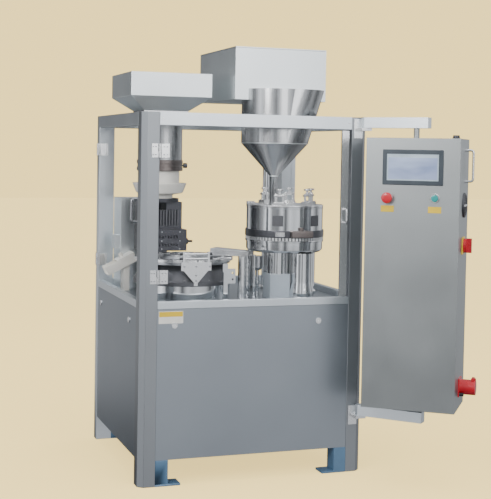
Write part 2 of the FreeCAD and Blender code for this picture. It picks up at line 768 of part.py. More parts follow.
def control_box():
    """Sheet cabinet with a bored front and side, and its two swivel pins."""
    w = 3.0
    case = box(LEFT_EDGE, SIDE, FRONT, -FRONT, CTRL_LOW, CTRL_TOP)
    case = case.cut(box(LEFT_EDGE + w, SIDE - w, FRONT + w, -FRONT, CTRL_LOW + w, CTRL_TOP - w))
    case = case.cut(bar((STOP_U, FRONT, STOP_Z), (0, 1, 0), w, 8 + RUN))
    case = case.cut(bar((START_U, FRONT, START_Z), (0, 1, 0), w, 8 + RUN))
    case = case.cut(bar((SIDE - w, 0, SWITCH_Z), (1, 0, 0), w, 6 + RUN))
    top_pin = fused(rod(0, 0, CTRL_TOP, TOP_ARM_Z - 0.5, 13.5), rod(0, 0, CTRL_TOP, TOP_ARM_Z + 34, 10))
    low_pin = fused(rod(0, 0, LOW_ARM_Z + ARM + 0.5, CTRL_LOW, 13.5), rod(0, 0, LOW_ARM_Z + 16, CTRL_LOW, 10))
    return [place_control(shape) for shape in (case, top_pin, low_pin)]


def control_back():
    w = 3.0
    return place_control(box(LEFT_EDGE + w, SIDE - w, -FRONT - w, -FRONT, CTRL_LOW + w, CTRL_TOP - w))


def touch_screen():
    x0, x1, z0, z1 = SCREEN
    bezel = box(x0, x1, FRONT - 6, FRONT, z0, z1)
    recess = box(x0 + 22, x1 - 22, FRONT - 6, FRONT - 4, z0 + 22, z1 - 22)
    return place_control(bezel.cut(recess))


def stop_button():
    x = STOP_U
    head = bar((x, FRONT - 30, STOP_Z), (0, 1, 0), 14, 25)
    neck = bar((x, FRONT - 16, STOP_Z), (0, 1, 0), 10, 16)
    return place_control(fused(head, neck, bar((x, FRONT - 8, STOP_Z), (0, 1, 0), 25, 8)))


def start_button():
    x = START_U
    cap = bar((x, FRONT - 13, START_Z), (0, 1, 0), 8, 16)
    return place_control(fused(cap, bar((x, FRONT - 8, START_Z), (0, 1, 0), 25, 8)))


def button_plates():
    """Legend plates under the two buttons and the main switch plate."""
    plates = []
    for u in (STOP_U, START_U):
        plates.append(place_control(box(u - 30, u + 30, FRONT - 1.5, FRONT, 1266, 1295)))
    plate = box(SIDE, SIDE + 5, -39, 39, SWITCH_Z - 39, SWITCH_Z + 39)
    plates.append(place_control(plate.cut(bar((SIDE, 0, SWITCH_Z), (1, 0, 0), 5, 6 + RUN))))
    return plates


def switch_knob():
    disc = bar((SIDE + 5.5, 0, SWITCH_Z), (1, 0, 0), 14, 33)
    grip = box(SIDE + 19.5, SIDE + 41, -9, 9, SWITCH_Z - 33, SWITCH_Z + 33)
    return place_control(fused(disc, grip, bar((SIDE - 12, 0, SWITCH_Z), (1, 0, 0), 20, 6)))


def power_socket():
    """Round power inlet with four pins, its mouth facing out."""
    length = SOCKET_END - SIDE
    mouth = bar((SIDE + 16, 0, SOCKET_Z), (1, 0, 0), length - 16, 30)
    shell = bar((SIDE + 6, 0, SOCKET_Z), (1, 0, 0), length - 6, 35).cut(mouth)
    flange = box(SIDE, SIDE + 6, -42, 42, SOCKET_Z - 42, SOCKET_Z + 42)
    pins = [bar((SIDE + 15, sy * 21, SOCKET_Z + sz * 12), (1, 0, 0), 36, 3.5)
            for sy in (-1, 1) for sz in (-1, 1)]
    lugs = [box(SOCKET_END - 12, SOCKET_END, y - 4, y + 4, SOCKET_Z + 30, SOCKET_Z + 45) for y in (-16, 16)]
    pin = bar((SOCKET_END - 5, -12, SOCKET_Z + 41), (0, 1, 0), 24, 2)
    return place_control(fused(shell, flange, pin, *(pins + lugs)))


def socket_flap():
    """Hinged cap over the mouth of the power inlet."""
    x = SOCKET_END
    cap = bar((x + 0.5, 0, SOCKET_Z), (1, 0, 0), 7, 35)
    tab = box(x + 0.5, x + 7.5, -10, 10, SOCKET_Z + 20, SOCKET_Z + 42)
    eye = bar((x - 5, -10, SOCKET_Z + 41), (0, 1, 0), 20, 4.5)
    bridge = box(x - 5, x + 2, -10, 10, SOCKET_Z + 38.5, SOCKET_Z + 45.5)
    bore = bar((x - 5, -12, SOCKET_Z + 41), (0, 1, 0), 24, 2 + RUN)
    return place_control(fused(cap, tab, eye, bridge).cut(bore))


def socket_clip():
    """Round cover clip on the flange of the power inlet."""
    return place_control(bar((SIDE + 6, -34, SOCKET_Z - 30), (1, 0, 0), 20, 8))


def box_handle():
    handle = bow_handle(0, 0, 32, -72, 72, 6)
    handle.rotate(vec(0, 0, 0), UP, 90)
    handle.translate(vec(SIDE, 60, 1480))
    return place_control(handle)


def cable_gland():
    """Short gland on the roof of the box."""
    x = SIDE - 30
    collar = rod(x, -80, CTRL_TOP, CTRL_TOP + 6, 18)
    return place_control(fused(collar, rod(x, -80, CTRL_TOP, CTRL_TOP + 16, 15)))


def fan_guard():
    plate = bar((SIDE, 0, 1300), (1, 0, 0), 8, 57)
    rib = box(SIDE + 8, SIDE + 12, -50, 50, 1294, 1306)
    return place_control(fused(plate, rib))


# ---------------------------------------------------------------- output

def build_root():
    save("corner_posts", *[corner_post(sx, sy) for sx, sy in corners()])
    save("frame_rails", *(top_rails() + rim_bands()))
    save("base_legs", *([base_leg(sx, sy) for sx, sy in corners()]
                        + [foot_plate(sx, sy) for sx, sy in corners()]))
    save("worktop", worktop())
    save("front_panel", front_panel())
    save("left_panel", left_panel())
    save("right_panel", side_panel().mirror(vec(0, 0, 0), vec(1, 0, 0)))
    save("rear_panel", rear_panel())
    save("cabinet_floor", cabinet_floor())
    save("hinge_brackets", *([place_front(fixed_leaf(z)) for z in HINGE_ZS]
                             + [place_left(fixed_leaf(z)) for z in HINGE_ZS]
                             + [arm_bracket(z) for z in (TOP_ARM_Z, LOW_ARM_Z)]))
    save("fixed_panes", *fixed_panes())


def build_feed():
    save("capsule_hopper", capsule_hopper())
    save("capsule_neck", *capsule_neck())
    save("capsule_collar", capsule_collar())
    save("capsule_cup", capsule_cup())
    save("feed_column", *feed_column())
    save("magazine_block", magazine_block(), feed_ring())
    save("sorting_block", sorting_block())
    save("magazine_knob", magazine_knob())
    save("separator_housing", separator_housing())
    save("discharge_chute", discharge_chute())


def build_stations():
    save("turret_drum", turret_drum())
    save("turret_disc", turret_disc())
    save("capsule_segments", *capsule_segments())
    save("station_bracket", station_bracket())
    save("closing_station", *closing_station())
    save("ejector_group", *ejector_group())
    save("dosing_pedestals", *dosing_pedestals())
    save("dosing_base", dosing_base())
    save("dosing_disc", dosing_disc())
    save("powder_bowl", powder_bowl(), scraper_housing())
    save("tamping_head", *tamping_head())
    save("tamping_clamps", *tamping_clamps())
    save("powder_hopper", powder_hopper())
    save("hopper_box", hopper_box())
    save("hopper_lid", hopper_lid())
    save("hopper_column", hopper_column())


def build_drive():
    save("drive_housings", *(index_units() + camshaft_bearings()))
    save("camshaft", camshaft())
    save("gear_motor", gear_motor())
    save("vacuum_pump", vacuum_pump())


def build_doors():
    save("front_door_pane", place_front(front_pane()))
    save("front_door_fittings", place_front(front_stile()),
         *[place_front(moving_leaf(z, 0.0)) for z in HINGE_ZS])
    save("front_door_handle", place_front(bow_handle(907, LEAF_LOW, 30, 1193, 1268, 6)))
    save("left_door_pane", place_left(left_pane()))
    save("left_door_fittings", *[place_left(moving_leaf(z, LEFT_RECESS)) for z in HINGE_ZS])
    save("left_door_handle", place_left(bow_handle(750, AXIS_OUT + LEFT_RECESS, 38, 1190, 1305, 6)))
    for name, x in zip(("lock_front_left", "lock_front_right"), FRONT_LOCKS):
        save(name, placed_lock(x, FRONT_FACE, 0))
    for name, y in zip(("lock_left_front", "lock_left_rear"), LEFT_LOCKS):
        save(name, placed_lock(LEFT_FACE, y, -90))


def build_control():
    save("swing_arms", swing_arm(TOP_ARM_Z, True), swing_arm(LOW_ARM_Z, False))
    save("control_box", control_back(), *control_box())
    save("touch_screen", touch_screen())
    save("stop_button", stop_button())
    save("start_button", start_button())
    save("switch_knob", switch_knob())
    save("power_socket", power_socket())
    save("socket_flap", socket_flap())
    save("box_fittings", box_handle(), fan_guard(), cable_gland(), socket_clip(), *button_plates())


build_root()
build_feed()
build_stations()
build_drive()
build_doors()
build_control()
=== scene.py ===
import json
import math

import bpy
from mathutils import Matrix, Vector


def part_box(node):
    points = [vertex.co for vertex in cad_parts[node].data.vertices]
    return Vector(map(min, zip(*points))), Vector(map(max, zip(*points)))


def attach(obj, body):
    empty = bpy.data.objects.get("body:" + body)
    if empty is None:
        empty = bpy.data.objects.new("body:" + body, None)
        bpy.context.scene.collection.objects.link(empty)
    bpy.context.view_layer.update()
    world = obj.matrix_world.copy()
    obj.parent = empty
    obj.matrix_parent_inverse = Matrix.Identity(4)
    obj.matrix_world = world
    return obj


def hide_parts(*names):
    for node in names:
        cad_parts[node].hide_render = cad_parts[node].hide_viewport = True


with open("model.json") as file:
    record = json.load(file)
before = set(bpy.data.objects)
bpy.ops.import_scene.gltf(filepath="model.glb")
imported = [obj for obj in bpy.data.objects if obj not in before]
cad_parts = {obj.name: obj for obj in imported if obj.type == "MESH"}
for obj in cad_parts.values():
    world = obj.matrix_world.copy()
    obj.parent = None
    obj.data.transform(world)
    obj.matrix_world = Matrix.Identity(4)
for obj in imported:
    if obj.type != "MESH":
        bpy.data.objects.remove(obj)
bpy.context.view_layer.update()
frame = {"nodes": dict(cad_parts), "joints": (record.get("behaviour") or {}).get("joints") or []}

bl_info = {
    "name": "Capsule filler finish",
    "version": (1, 0, 0),
    "blender": (4, 5, 0),
    "location": "View3D > Sidebar > Filler",
    "description": "Models the finished surfaces of a capsule filling machine round its design",
    "category": "Object",
}

ROUND = 96


# ---------------------------------------------------------------- sizes and colours

class FillerSizes(bpy.types.PropertyGroup):
    """Sizes of the small work on the machine."""
    edge: bpy.props.FloatProperty(name="Sheet edge", description="Rounding of folded sheet and tube edges",
                                  default=0.0022, unit="LENGTH")
    fine_edge: bpy.props.FloatProperty(name="Fine edge", description="Rounding of machined edges",
                                       default=0.0009, unit="LENGTH")
    screw: bpy.props.FloatProperty(name="Screw head", description="Radius of a cap screw head",
                                   default=0.0055, unit="LENGTH")
    small_screw: bpy.props.FloatProperty(name="Small screw head", description="Radius of a small screw head",
                                         default=0.0034, unit="LENGTH")
    weld: bpy.props.FloatProperty(name="Weld bead", description="Radius of a weld bead on the hoppers",
                                  default=0.0016, unit="LENGTH")
    pocket: bpy.props.FloatProperty(name="Capsule pocket",
                                    description="Radius of a capsule pocket in the turret", default=0.0042,
                                    unit="LENGTH")


class FillerColours(bpy.types.PropertyGroup):
    """Colours of the finishes."""
    # The post colour is darker to paint shade and a dim reflection on the front corner posts; the rear posts
    # use the tube colour.
    post: bpy.props.FloatVectorProperty(name="Post steel",
                                        description="Darker brushed steel of the corner posts",
                                        subtype="COLOR", size=3, default=(0.34, 0.356, 0.375))
    tube: bpy.props.FloatVectorProperty(name="Tube steel", description="Brushed steel of rails and arms",
                                        subtype="COLOR", size=3, default=(0.74, 0.78, 0.81))
    panel: bpy.props.FloatVectorProperty(name="Panel steel", description="Fine brushed steel of the covers",
                                         subtype="COLOR", size=3, default=(0.36, 0.39, 0.425))
    hopper: bpy.props.FloatVectorProperty(name="Hopper steel", description="Satin steel of the hoppers",
                                          subtype="COLOR", size=3, default=(0.80, 0.84, 0.85))
    polish: bpy.props.FloatVectorProperty(name="Polished steel", description="Polished bowls and columns",
                                          subtype="COLOR", size=3, default=(0.82, 0.83, 0.84))
    control: bpy.props.FloatVectorProperty(name="Control box steel",
                                           description="Brushed steel of the control box", subtype="COLOR",
                                           size=3, default=(0.40, 0.42, 0.42))
    film: bpy.props.FloatVectorProperty(name="Leg film", description="Blue protective film on the inner legs",
                                        subtype="COLOR", size=3, default=(0.10, 0.19, 0.30))
    red: bpy.props.FloatVectorProperty(name="Signal red",
                                       description="Stop button, main switch and power inlet",
                                       subtype="COLOR", size=3, default=(0.62, 0.012, 0.025))
    green: bpy.props.FloatVectorProperty(name="Start green", description="Start button",
                                         subtype="COLOR", size=3, default=(0.015, 0.34, 0.32))
    yellow: bpy.props.FloatVectorProperty(name="Plate yellow", description="Legend plates and switch plate",
                                          subtype="COLOR", size=3, default=(0.86, 0.58, 0.03))
    backdrop: bpy.props.FloatVectorProperty(name="Backdrop", description="Floor and backdrop",
                                            subtype="COLOR", size=3, default=(1.0, 0.747, 0.270))


def sizes():
    return bpy.context.scene.filler_sizes


def colours():
    return bpy.context.scene.filler_colours


# ---------------------------------------------------------------- modelling helpers

def clear():
    if bpy.context.object and bpy.context.object.mode != "OBJECT":
        bpy.ops.object.mode_set(mode="OBJECT")
    bpy.ops.object.select_all(action="DESELECT")


def take(piece):
    clear()
    piece.select_set(True)
    bpy.context.view_layer.objects.active = piece


def settle(piece):
    """Put the piece's place into its mesh."""
    take(piece)
    bpy.ops.object.transform_apply(location=True, rotation=True, scale=True)
    return piece


def edit(piece):
    take(piece)
    bpy.ops.object.mode_set(mode="EDIT")


def done():
    bpy.ops.object.mode_set(mode="OBJECT")


def close_mesh(piece):
    """Merge doubles, close open rims and turn all faces outwards."""
    edit(piece)
    bpy.ops.mesh.select_all(action="SELECT")
    bpy.ops.mesh.remove_doubles(threshold=1e-5)
    bpy.ops.mesh.fill_holes(sides=0)
    bpy.ops.mesh.normals_make_consistent(inside=False)
    done()
    return piece


def bevelled(piece, width, segments=2, angle=35.0):
    take(piece)
    bevel = piece.modifiers.new("edge", "BEVEL")
    bevel.width = width
    bevel.segments = segments
    bevel.limit_method = "ANGLE"
    bevel.angle_limit = math.radians(angle)
    bevel.use_clamp_overlap = True
    bpy.ops.object.modifier_apply(modifier=bevel.name)
    return piece


def cut_with(piece, cutter):
    """Subtract the cutter from the piece and throw the cutter away."""
    take(piece)
    boolean = piece.modifiers.new("cut", "BOOLEAN")
    boolean.operation = "DIFFERENCE"
    boolean.solver = "EXACT"
    boolean.object = cutter
    bpy.ops.object.modifier_apply(modifier=boolean.name)
    bpy.data.objects.remove(cutter)
    return piece


def joined(pieces):
    """One mesh from several."""
    clear()
    for piece in pieces:
        piece.select_set(True)
    bpy.context.view_layer.objects.active = pieces[0]
    if len(pieces) > 1:
        bpy.ops.object.join()
    return pieces[0]


def copied(piece):
    twin = piece.copy()
    twin.data = piece.data.copy()
    bpy.context.scene.collection.objects.link(twin)
    return twin


def block(lo, hi, bevel=0.0, segments=2):
    """A box between two corners with rounded edges."""
    clear()
    lo, hi = Vector(lo), Vector(hi)
    bpy.ops.mesh.primitive_cube_add(size=1.0, location=(lo + hi) / 2, scale=hi - lo)
    piece = settle(bpy.context.object)
    return bevelled(piece, bevel, segments) if bevel else piece


def round_bar(start, end, radius, bevel=0.0, vertices=32, tip=None):
    """A bar between two points, tapered to the radius tip when one is given."""
    clear()
    start, end = Vector(start), Vector(end)
    turn = Vector((0, 0, 1)).rotation_difference(end - start).to_euler()
    bpy.ops.mesh.primitive_cone_add(vertices=vertices, radius1=radius, radius2=radius if tip is None else tip,
                                    depth=(end - start).length, location=(start + end) / 2, rotation=turn)
    piece = settle(bpy.context.object)
    return bevelled(piece, bevel) if bevel else piece


def lathe(x, y, rings, vertices=ROUND):
    """Extrude and resize a circle ring by ring about the vertical axis through x, y."""
    clear()
    radius, height = rings[0]
    bpy.ops.mesh.primitive_circle_add(vertices=vertices, radius=radius, location=(x, y, height))
    piece = settle(bpy.context.object)
    edit(piece)
    bpy.ops.mesh.select_all(action="SELECT")
    for next_radius, next_height in rings[1:]:
        rise = {"value": (0, 0, next_height - height)}
        bpy.ops.mesh.extrude_edges_move(TRANSFORM_OT_translate=rise)
        share = next_radius / radius
        bpy.ops.transform.resize(value=(share, share, 1), center_override=(x, y, next_height))
        radius, height = next_radius, next_height
    done()
    return close_mesh(piece)


def pipe(points, radius, corner):
    """A bent round bar through the points, its corners rounded."""
    points = [Vector(p) for p in points]
    path = [points[0]]
    for before, here, after in zip(points, points[1:], points[2:]):
        start = here + (before - here).normalized() * corner
        end = here + (after - here).normalized() * corner
        for step in range(7):
            t = step / 6
            path.append(start * (1 - t) ** 2 + here * 2 * t * (1 - t) + end * t ** 2)
    path.append(points[-1])
    curve = bpy.data.curves.new("pipe", "CURVE")
    curve.dimensions = "3D"
    curve.bevel_depth = radius
    curve.bevel_resolution = 5
    curve.use_fill_caps = True
    spline = curve.splines.new("POLY")
    spline.points.add(len(path) - 1)
    for point, place in zip(spline.points, path):
        point.co = (*place, 1)
    piece = bpy.data.objects.new("pipe", curve)
    bpy.context.scene.collection.objects.link(piece)
    take(piece)
    bpy.ops.object.convert(target="MESH")
    return bpy.context.object


def refined(node, width, segments=2, angle=35.0):
    """A merged copy of a designed node with rounded edges."""
    piece = copied(frame["nodes"][node])
    piece.parent = None
    piece.hide_set(False)
    piece.hide_viewport = False
    piece.hide_render = False
    for key in list(piece.keys()):
        del piece[key]
    edit(piece)
    bpy.ops.mesh.select_all(action="SELECT")
    bpy.ops.mesh.remove_doubles(threshold=1e-5)
    bpy.ops.mesh.dissolve_limited(angle_limit=math.radians(1.0))
    bpy.ops.mesh.select_all(action="DESELECT")
    done()
    return bevelled(piece, width, segments, angle) if width else piece


def faces_within(piece, lo, hi, keep=True):
    """Keep, or drop, the faces whose centres lie between two corners."""
    edit(piece)
    bpy.ops.mesh.select_mode(type="FACE")
    bpy.ops.mesh.select_all(action="DESELECT")
    done()
    for face in piece.data.polygons:
        inside = all(lo[axis] <= face.center[axis] <= hi[axis] for axis in range(3))
        face.select = inside != keep
    bpy.ops.object.mode_set(mode="EDIT")
    bpy.ops.mesh.delete(type="FACE")
    bpy.ops.mesh.select_mode(type="VERT")
    done()
    return piece


def finish(piece, name, body, slot, material, *nodes, smooth=35.0):
    """Name, shade, dress and hang a finished piece."""
    piece.name = name
    piece.data.name = name
    take(piece)
    bpy.ops.object.shade_smooth_by_angle(angle=math.radians(smooth))
    flatten = piece.modifiers.new("flats", "WEIGHTED_NORMAL")
    flatten.keep_sharp = True
    flatten.weight = 100
    bpy.ops.object.modifier_apply(modifier=flatten.name)
    piece.data.materials.clear()
    piece.data.materials.append(material)
    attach(piece, body)
    if nodes:
        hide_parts(*nodes)
    return piece


def dress(node, material):
    """Give a designed node that stays visible its material."""
    shown = frame["nodes"][node]
    shown.data.materials.clear()
    shown.data.materials.append(material)


def middle(node):
    lo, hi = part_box(node)
    return (lo + hi) / 2


def around(x, y, radius, degrees, z):
    angle = math.radians(degrees)
    return Vector((x + radius * math.cos(angle), y + radius * math.sin(angle), z))


def cap_screw(at, facing, radius):
    """A socket cap screw head standing on a face."""
    facing = Vector(facing).normalized()
    at = Vector(at)
    head = round_bar(at, at + facing * radius * 1.1, radius, radius * 0.18, 20)
    socket = round_bar(at + facing * radius * 0.55, at + facing * radius * 2, radius * 0.5, 0, 6)
    return cut_with(head, socket)


def cap_screws(spots, radius):
    """Like screws from (place, facing) pairs, as one mesh."""
    return joined([cap_screw(at, facing, radius) for at, facing in spots])


# ---------------------------------------------------------------- materials

MADE = {}


def shader(name):
    """A new material with its node tools: the material, its tree and its shader node."""
    material = bpy.data.materials.new(name)
    material.use_nodes = True
    tree = material.node_tree
    return material, tree, tree.nodes["Principled BSDF"]


def pattern(tree, scale, stretch, detail=4.0):
    """Noise on the piece's own coordinates, stretched along the grain."""
    where = tree.nodes.new("ShaderNodeTexCoord")
    mapping = tree.nodes.new("ShaderNodeMapping")
    mapping.inputs["Scale"].default_value = stretch
    noise = tree.nodes.new("ShaderNodeTexNoise")
    noise.inputs["Scale"].default_value = scale
    noise.inputs["Detail"].default_value = detail
    tree.links.new(where.outputs["Object"], mapping.inputs["Vector"])
    tree.links.new(mapping.outputs["Vector"], noise.inputs["Vector"])
    return noise.outputs["Fac"]


def ramp(tree, value, low, high, start=0.3, stop=0.7):
    """Blend between two colours over a value."""
    blend = tree.nodes.new("ShaderNodeValToRGB")
    blend.color_ramp.elements[0].position = start
    blend.color_ramp.elements[1].position = stop
    blend.color_ramp.elements[0].color = (*low, 1)
    blend.color_ramp.elements[1].color = (*high, 1)
    tree.links.new(value, blend.inputs["Fac"])
    return blend.outputs["Color"]


def spread(tree, value, low, high):
    """Map a noise value to a range."""
    node = tree.nodes.new("ShaderNodeMapRange")
    node.inputs["From Min"].default_value = 0.3
    node.inputs["From Max"].default_value = 0.7
    node.inputs["To Min"].default_value = low
    node.inputs["To Max"].default_value = high
    tree.links.new(value, node.inputs["Value"])
    return node.outputs["Result"]


def relief(tree, bsdf, value, strength, distance):
    bump = tree.nodes.new("ShaderNodeBump")
    bump.inputs["Strength"].default_value = strength
    bump.inputs["Distance"].default_value = distance
    tree.links.new(value, bump.inputs["Height"])
    tree.links.new(bump.outputs["Normal"], bsdf.inputs["Normal"])


def shade(colour, factor):
    return tuple(min(1.0, c * factor) for c in colour)


def metal(name, colour, rough, grain, depth=0.12, streak=0.1):
    """Metal with a directional grain, handling marks and uneven gloss."""
    if name in MADE:
        return MADE[name]
    material, tree, bsdf = shader(name)
    lines = pattern(tree, 60.0, grain)
    clouds = pattern(tree, 3.5, (1, 1, 1), 2.0)
    mix = tree.nodes.new("ShaderNodeMix")
    mix.inputs["Factor"].default_value = 0.35
    tree.links.new(lines, mix.inputs["A"])
    tree.links.new(clouds, mix.inputs["B"])
    worn = ramp(tree, mix.outputs["Result"], shade(colour, 1 - streak), shade(colour, 1 + streak))
    tree.links.new(worn, bsdf.inputs["Base Color"])
    tree.links.new(spread(tree, mix.outputs["Result"], rough * 0.8, rough * 1.25), bsdf.inputs["Roughness"])
    bsdf.inputs["Metallic"].default_value = 1.0
    relief(tree, bsdf, lines, depth, 0.0004)
    MADE[name] = material
    return material


def moulded(name, colour, rough, grain_size=900.0, depth=0.1, coat=0.0):
    """Moulded plastic or paint with a fine texture and slight shade changes."""
    if name in MADE:
        return MADE[name]
    material, tree, bsdf = shader(name)
    grain = pattern(tree, grain_size, (1, 1, 1))
    clouds = pattern(tree, 9.0, (1, 1, 1), 3.0)
    tree.links.new(ramp(tree, clouds, shade(colour, 0.88), shade(colour, 1.1)), bsdf.inputs["Base Color"])
    tree.links.new(spread(tree, clouds, rough * 0.8, rough * 1.2), bsdf.inputs["Roughness"])
    bsdf.inputs["Coat Weight"].default_value = coat
    relief(tree, bsdf, grain, depth, 0.0003)
    MADE[name] = material
    return material


# Painted shade: the front posts get this darker copy of the post steel, the rear posts the lighter tube
# colour.
def front_post_shaded_steel():
    return metal("front_post_shaded_steel", colours().post, 0.42, (30, 30, 0.6), 0.08, 0.06)


def rear_post_steel():
    return metal("rear_post_steel", colours().tube, 0.34, (30, 30, 0.6), 0.08, 0.06)


def rail_steel():
    return metal("rail_steel", colours().tube, 0.36, (0.6, 0.6, 40))


def panel_steel():
    return metal("panel_steel", colours().panel, 0.40, (0.5, 0.5, 60), 0.08, 0.07)


def hopper_steel():
    return metal("hopper_steel", colours().hopper, 0.38, (0.8, 0.8, 40), 0.08, 0.06)


# Painted shade: the polished colour darkened to 0.55, a shaded copy of the polished steel for the hopper
# shell and capsule neck.
def shaded_cone_steel():
    return metal("shaded_cone_steel", shade(colours().polish, 0.55), 0.22, (26, 26, 0.7), 0.06, 0.10)


def polished_steel():
    return metal("polished_steel", shade(colours().polish, 0.88), 0.08, (24, 24, 0.5), 0.03, 0.06)


def machined_steel():
    return metal("machined_steel", (0.46, 0.47, 0.49), 0.28, (12, 12, 12), 0.1, 0.12)


def bright_steel():
    return metal("bright_steel", (0.86, 0.86, 0.86), 0.24, (14, 14, 3), 0.06, 0.06)


# Dark metal of several parts; the turret pocket discs use it to paint the shade in their bores.
def dark_metal_and_pocket_shade():
    return metal("dark_metal_and_pocket_shade", (0.13, 0.13, 0.14), 0.38, (10, 10, 10), 0.1, 0.18)


def bronze_band():
    return metal("bronze_band", (0.20, 0.17, 0.16), 0.34, (1, 1, 30), 0.08, 0.15)


def control_steel():
    return metal("control_steel", colours().control, 0.40, (50, 50, 0.4), 0.08, 0.07)


def leg_film():
    return moulded("leg_film", colours().film, 0.35, 120.0, 0.25, 0.3)


def black_plastic():
    return moulded("black_plastic", (0.02, 0.021, 0.024), 0.42)


def white_plastic():
    return moulded("white_plastic", (0.90, 0.87, 0.79), 0.34, 500.0, 0.05, 0.2)


def pale_film():
    return moulded("pale_film", (0.42, 0.47, 0.52), 0.40, 150.0, 0.2, 0.2)


def bright_teeth():
    return metal("bright_teeth", (0.90, 0.90, 0.90), 0.34, (10, 10, 10), 0.08, 0.05)


# Charcoal metal of the bowl band and cable gland; the dosing gap ring uses it to paint the shade in the
# disc's gaps.
def charcoal_and_gap_shade():
    return metal("charcoal_and_gap_shade", (0.10, 0.10, 0.11), 0.36, (1, 1, 30), 0.08, 0.15)


def signal_red():
    return moulded("signal_red", colours().red, 0.26, 500.0, 0.04, 0.4)


def start_green():
    return moulded("start_green", colours().green, 0.26, 500.0, 0.04, 0.4)


def plate_yellow():
    return moulded("plate_yellow", colours().yellow, 0.40, 400.0, 0.05)


def drive_paint():
    return moulded("drive_paint", (0.10, 0.14, 0.20), 0.45, 300.0, 0.2)


def dark_block():
    return metal("dark_block", (0.07, 0.07, 0.08), 0.42, (16, 16, 16), 0.1, 0.2)


def clear_sheet():
    """Clear acrylic: nearly all see-through, with faint smears and gloss."""
    if "clear_sheet" in MADE:
        return MADE["clear_sheet"]
    material, tree, bsdf = shader("clear_sheet")
    smears = pattern(tree, 4.0, (1, 1, 2), 3.0)
    tree.links.new(spread(tree, smears, 0.008, 0.022), bsdf.inputs["Alpha"])
    tree.links.new(spread(tree, smears, 0.03, 0.10), bsdf.inputs["Roughness"])
    tree.links.new(ramp(tree, smears, (0.50, 0.54, 0.56), (0.62, 0.66, 0.68)), bsdf.inputs["Base Color"])
    MADE["clear_sheet"] = material
    return material


def smoky_sheet():
    """Translucent grey cover."""
    if "smoky_sheet" in MADE:
        return MADE["smoky_sheet"]
    material, tree, bsdf = shader("smoky_sheet")
    smears = pattern(tree, 6.0, (1, 1, 1), 3.0)
    tree.links.new(spread(tree, smears, 0.55, 0.7), bsdf.inputs["Alpha"])
    tree.links.new(ramp(tree, smears, (0.55, 0.57, 0.58), (0.70, 0.72, 0.73)), bsdf.inputs["Base Color"])
    tree.links.new(spread(tree, smears, 0.15, 0.25), bsdf.inputs["Roughness"])
    MADE["smoky_sheet"] = material
    return material


def bezel_grey():
    return moulded("bezel_grey", (0.055, 0.07, 0.085), 0.35)


def screen_light():
    return moulded("screen_light", (0.55, 0.66, 0.74), 0.3)


def screen_glow():
    """Lit display with a soft vertical fade, kept free of lettering."""
    if "screen_glow" in MADE:
        return MADE["screen_glow"]
    material, tree, bsdf = shader("screen_glow")
    fade = pattern(tree, 5.0, (1, 1, 3), 2.0)
    colour = ramp(tree, fade, (0.20, 0.25, 0.42), (0.42, 0.50, 0.68))
    tree.links.new(colour, bsdf.inputs["Base Color"])
    tree.links.new(colour, bsdf.inputs["Emission Color"])
    bsdf.inputs["Emission Strength"].default_value = 0.35
    bsdf.inputs["Roughness"].default_value = 0.22
    MADE["screen_glow"] = material
    return material


# ---------------------------------------------------------------- frame and cabinet

class FILLER_OT_guard_frame(bpy.types.Operator):
    """Posts, rails and rim bands with rolled edges and their joint screws"""
    bl_idname = "filler.guard_frame"
    bl_label = "Guard frame"

    def execute(self, context):
        edge = sizes().edge
        # The front posts take the darker steel as painted shade, the rear posts the lighter steel.
        for name, front, material in (("guard_posts_front", True, front_post_shaded_steel()),
                                      ("guard_posts_rear", False, rear_post_steel())):
            posts = faces_within(refined("corner_posts", edge, 3, 20.0), (-9, -9, -9), (9, 0, 9), front)
            finish(posts, name, "root", "frame_steel", material, "corner_posts", smooth=25.0)
        rails = refined("frame_rails", edge, 3)
        finish(rails, "guard_rails", "root", "frame_steel", rail_steel(), "frame_rails")
        lo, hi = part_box("frame_rails")
        spots = []
        for x in (lo.x + 0.095, hi.x - 0.095):
            for y, side in ((lo.y, -1), (hi.y, 1)):
                spots.append(((x, y, hi.z - 0.03), (0, side, 0)))
        screws = cap_screws(spots, sizes().small_screw)
        finish(screws, "rail_screws", "root", "frame_steel", bright_steel())
        return {"FINISHED"}


class FILLER_OT_cabinet_panels(bpy.types.Operator):
    """Front, side and rear covers with folded edges, louvres and a blank plate"""
    bl_idname = "filler.cabinet_panels"
    bl_label = "Cabinet panels"

    def execute(self, context):
        edge = sizes().edge
        for node in ("front_panel", "left_panel", "right_panel", "rear_panel"):
            panel = refined(node, edge * 0.6, 2, 60.0)
            finish(panel, node + "_sheet", "root", "panel_steel", panel_steel(), node)
        dress("worktop", panel_steel())
        floor = refined("cabinet_floor", edge * 0.5)
        finish(floor, "cabinet_floor_sheet", "root", "panel_steel", panel_steel(), "cabinet_floor")
        lo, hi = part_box("front_panel")
        plate_lo = Vector((lo.x + 0.007, lo.y - 0.0010, hi.z - 0.066))
        plate = block(plate_lo, plate_lo + Vector((0.115, 0.0012, 0.056)), 0.0004)
        finish(plate, "rating_plate", "root", "panel_steel", white_plastic())
        band = block(plate_lo + Vector((0.002, -0.0003, 0.031)), plate_lo + Vector((0.113, 0.001, 0.054)),
                     0.0002)
        finish(band, "rating_plate_band", "root", "panel_steel", plate_yellow())
        return {"FINISHED"}


class FILLER_OT_feet(bpy.types.Operator):
    """Inner legs in blue film and their foot plates"""
    bl_idname = "filler.feet"
    bl_label = "Legs and feet"

    def execute(self, context):
        feet = refined("base_legs", sizes().edge * 0.6)
        finish(feet, "inner_legs", "root", "leg_blue", leg_film(), "base_legs")
        return {"FINISHED"}


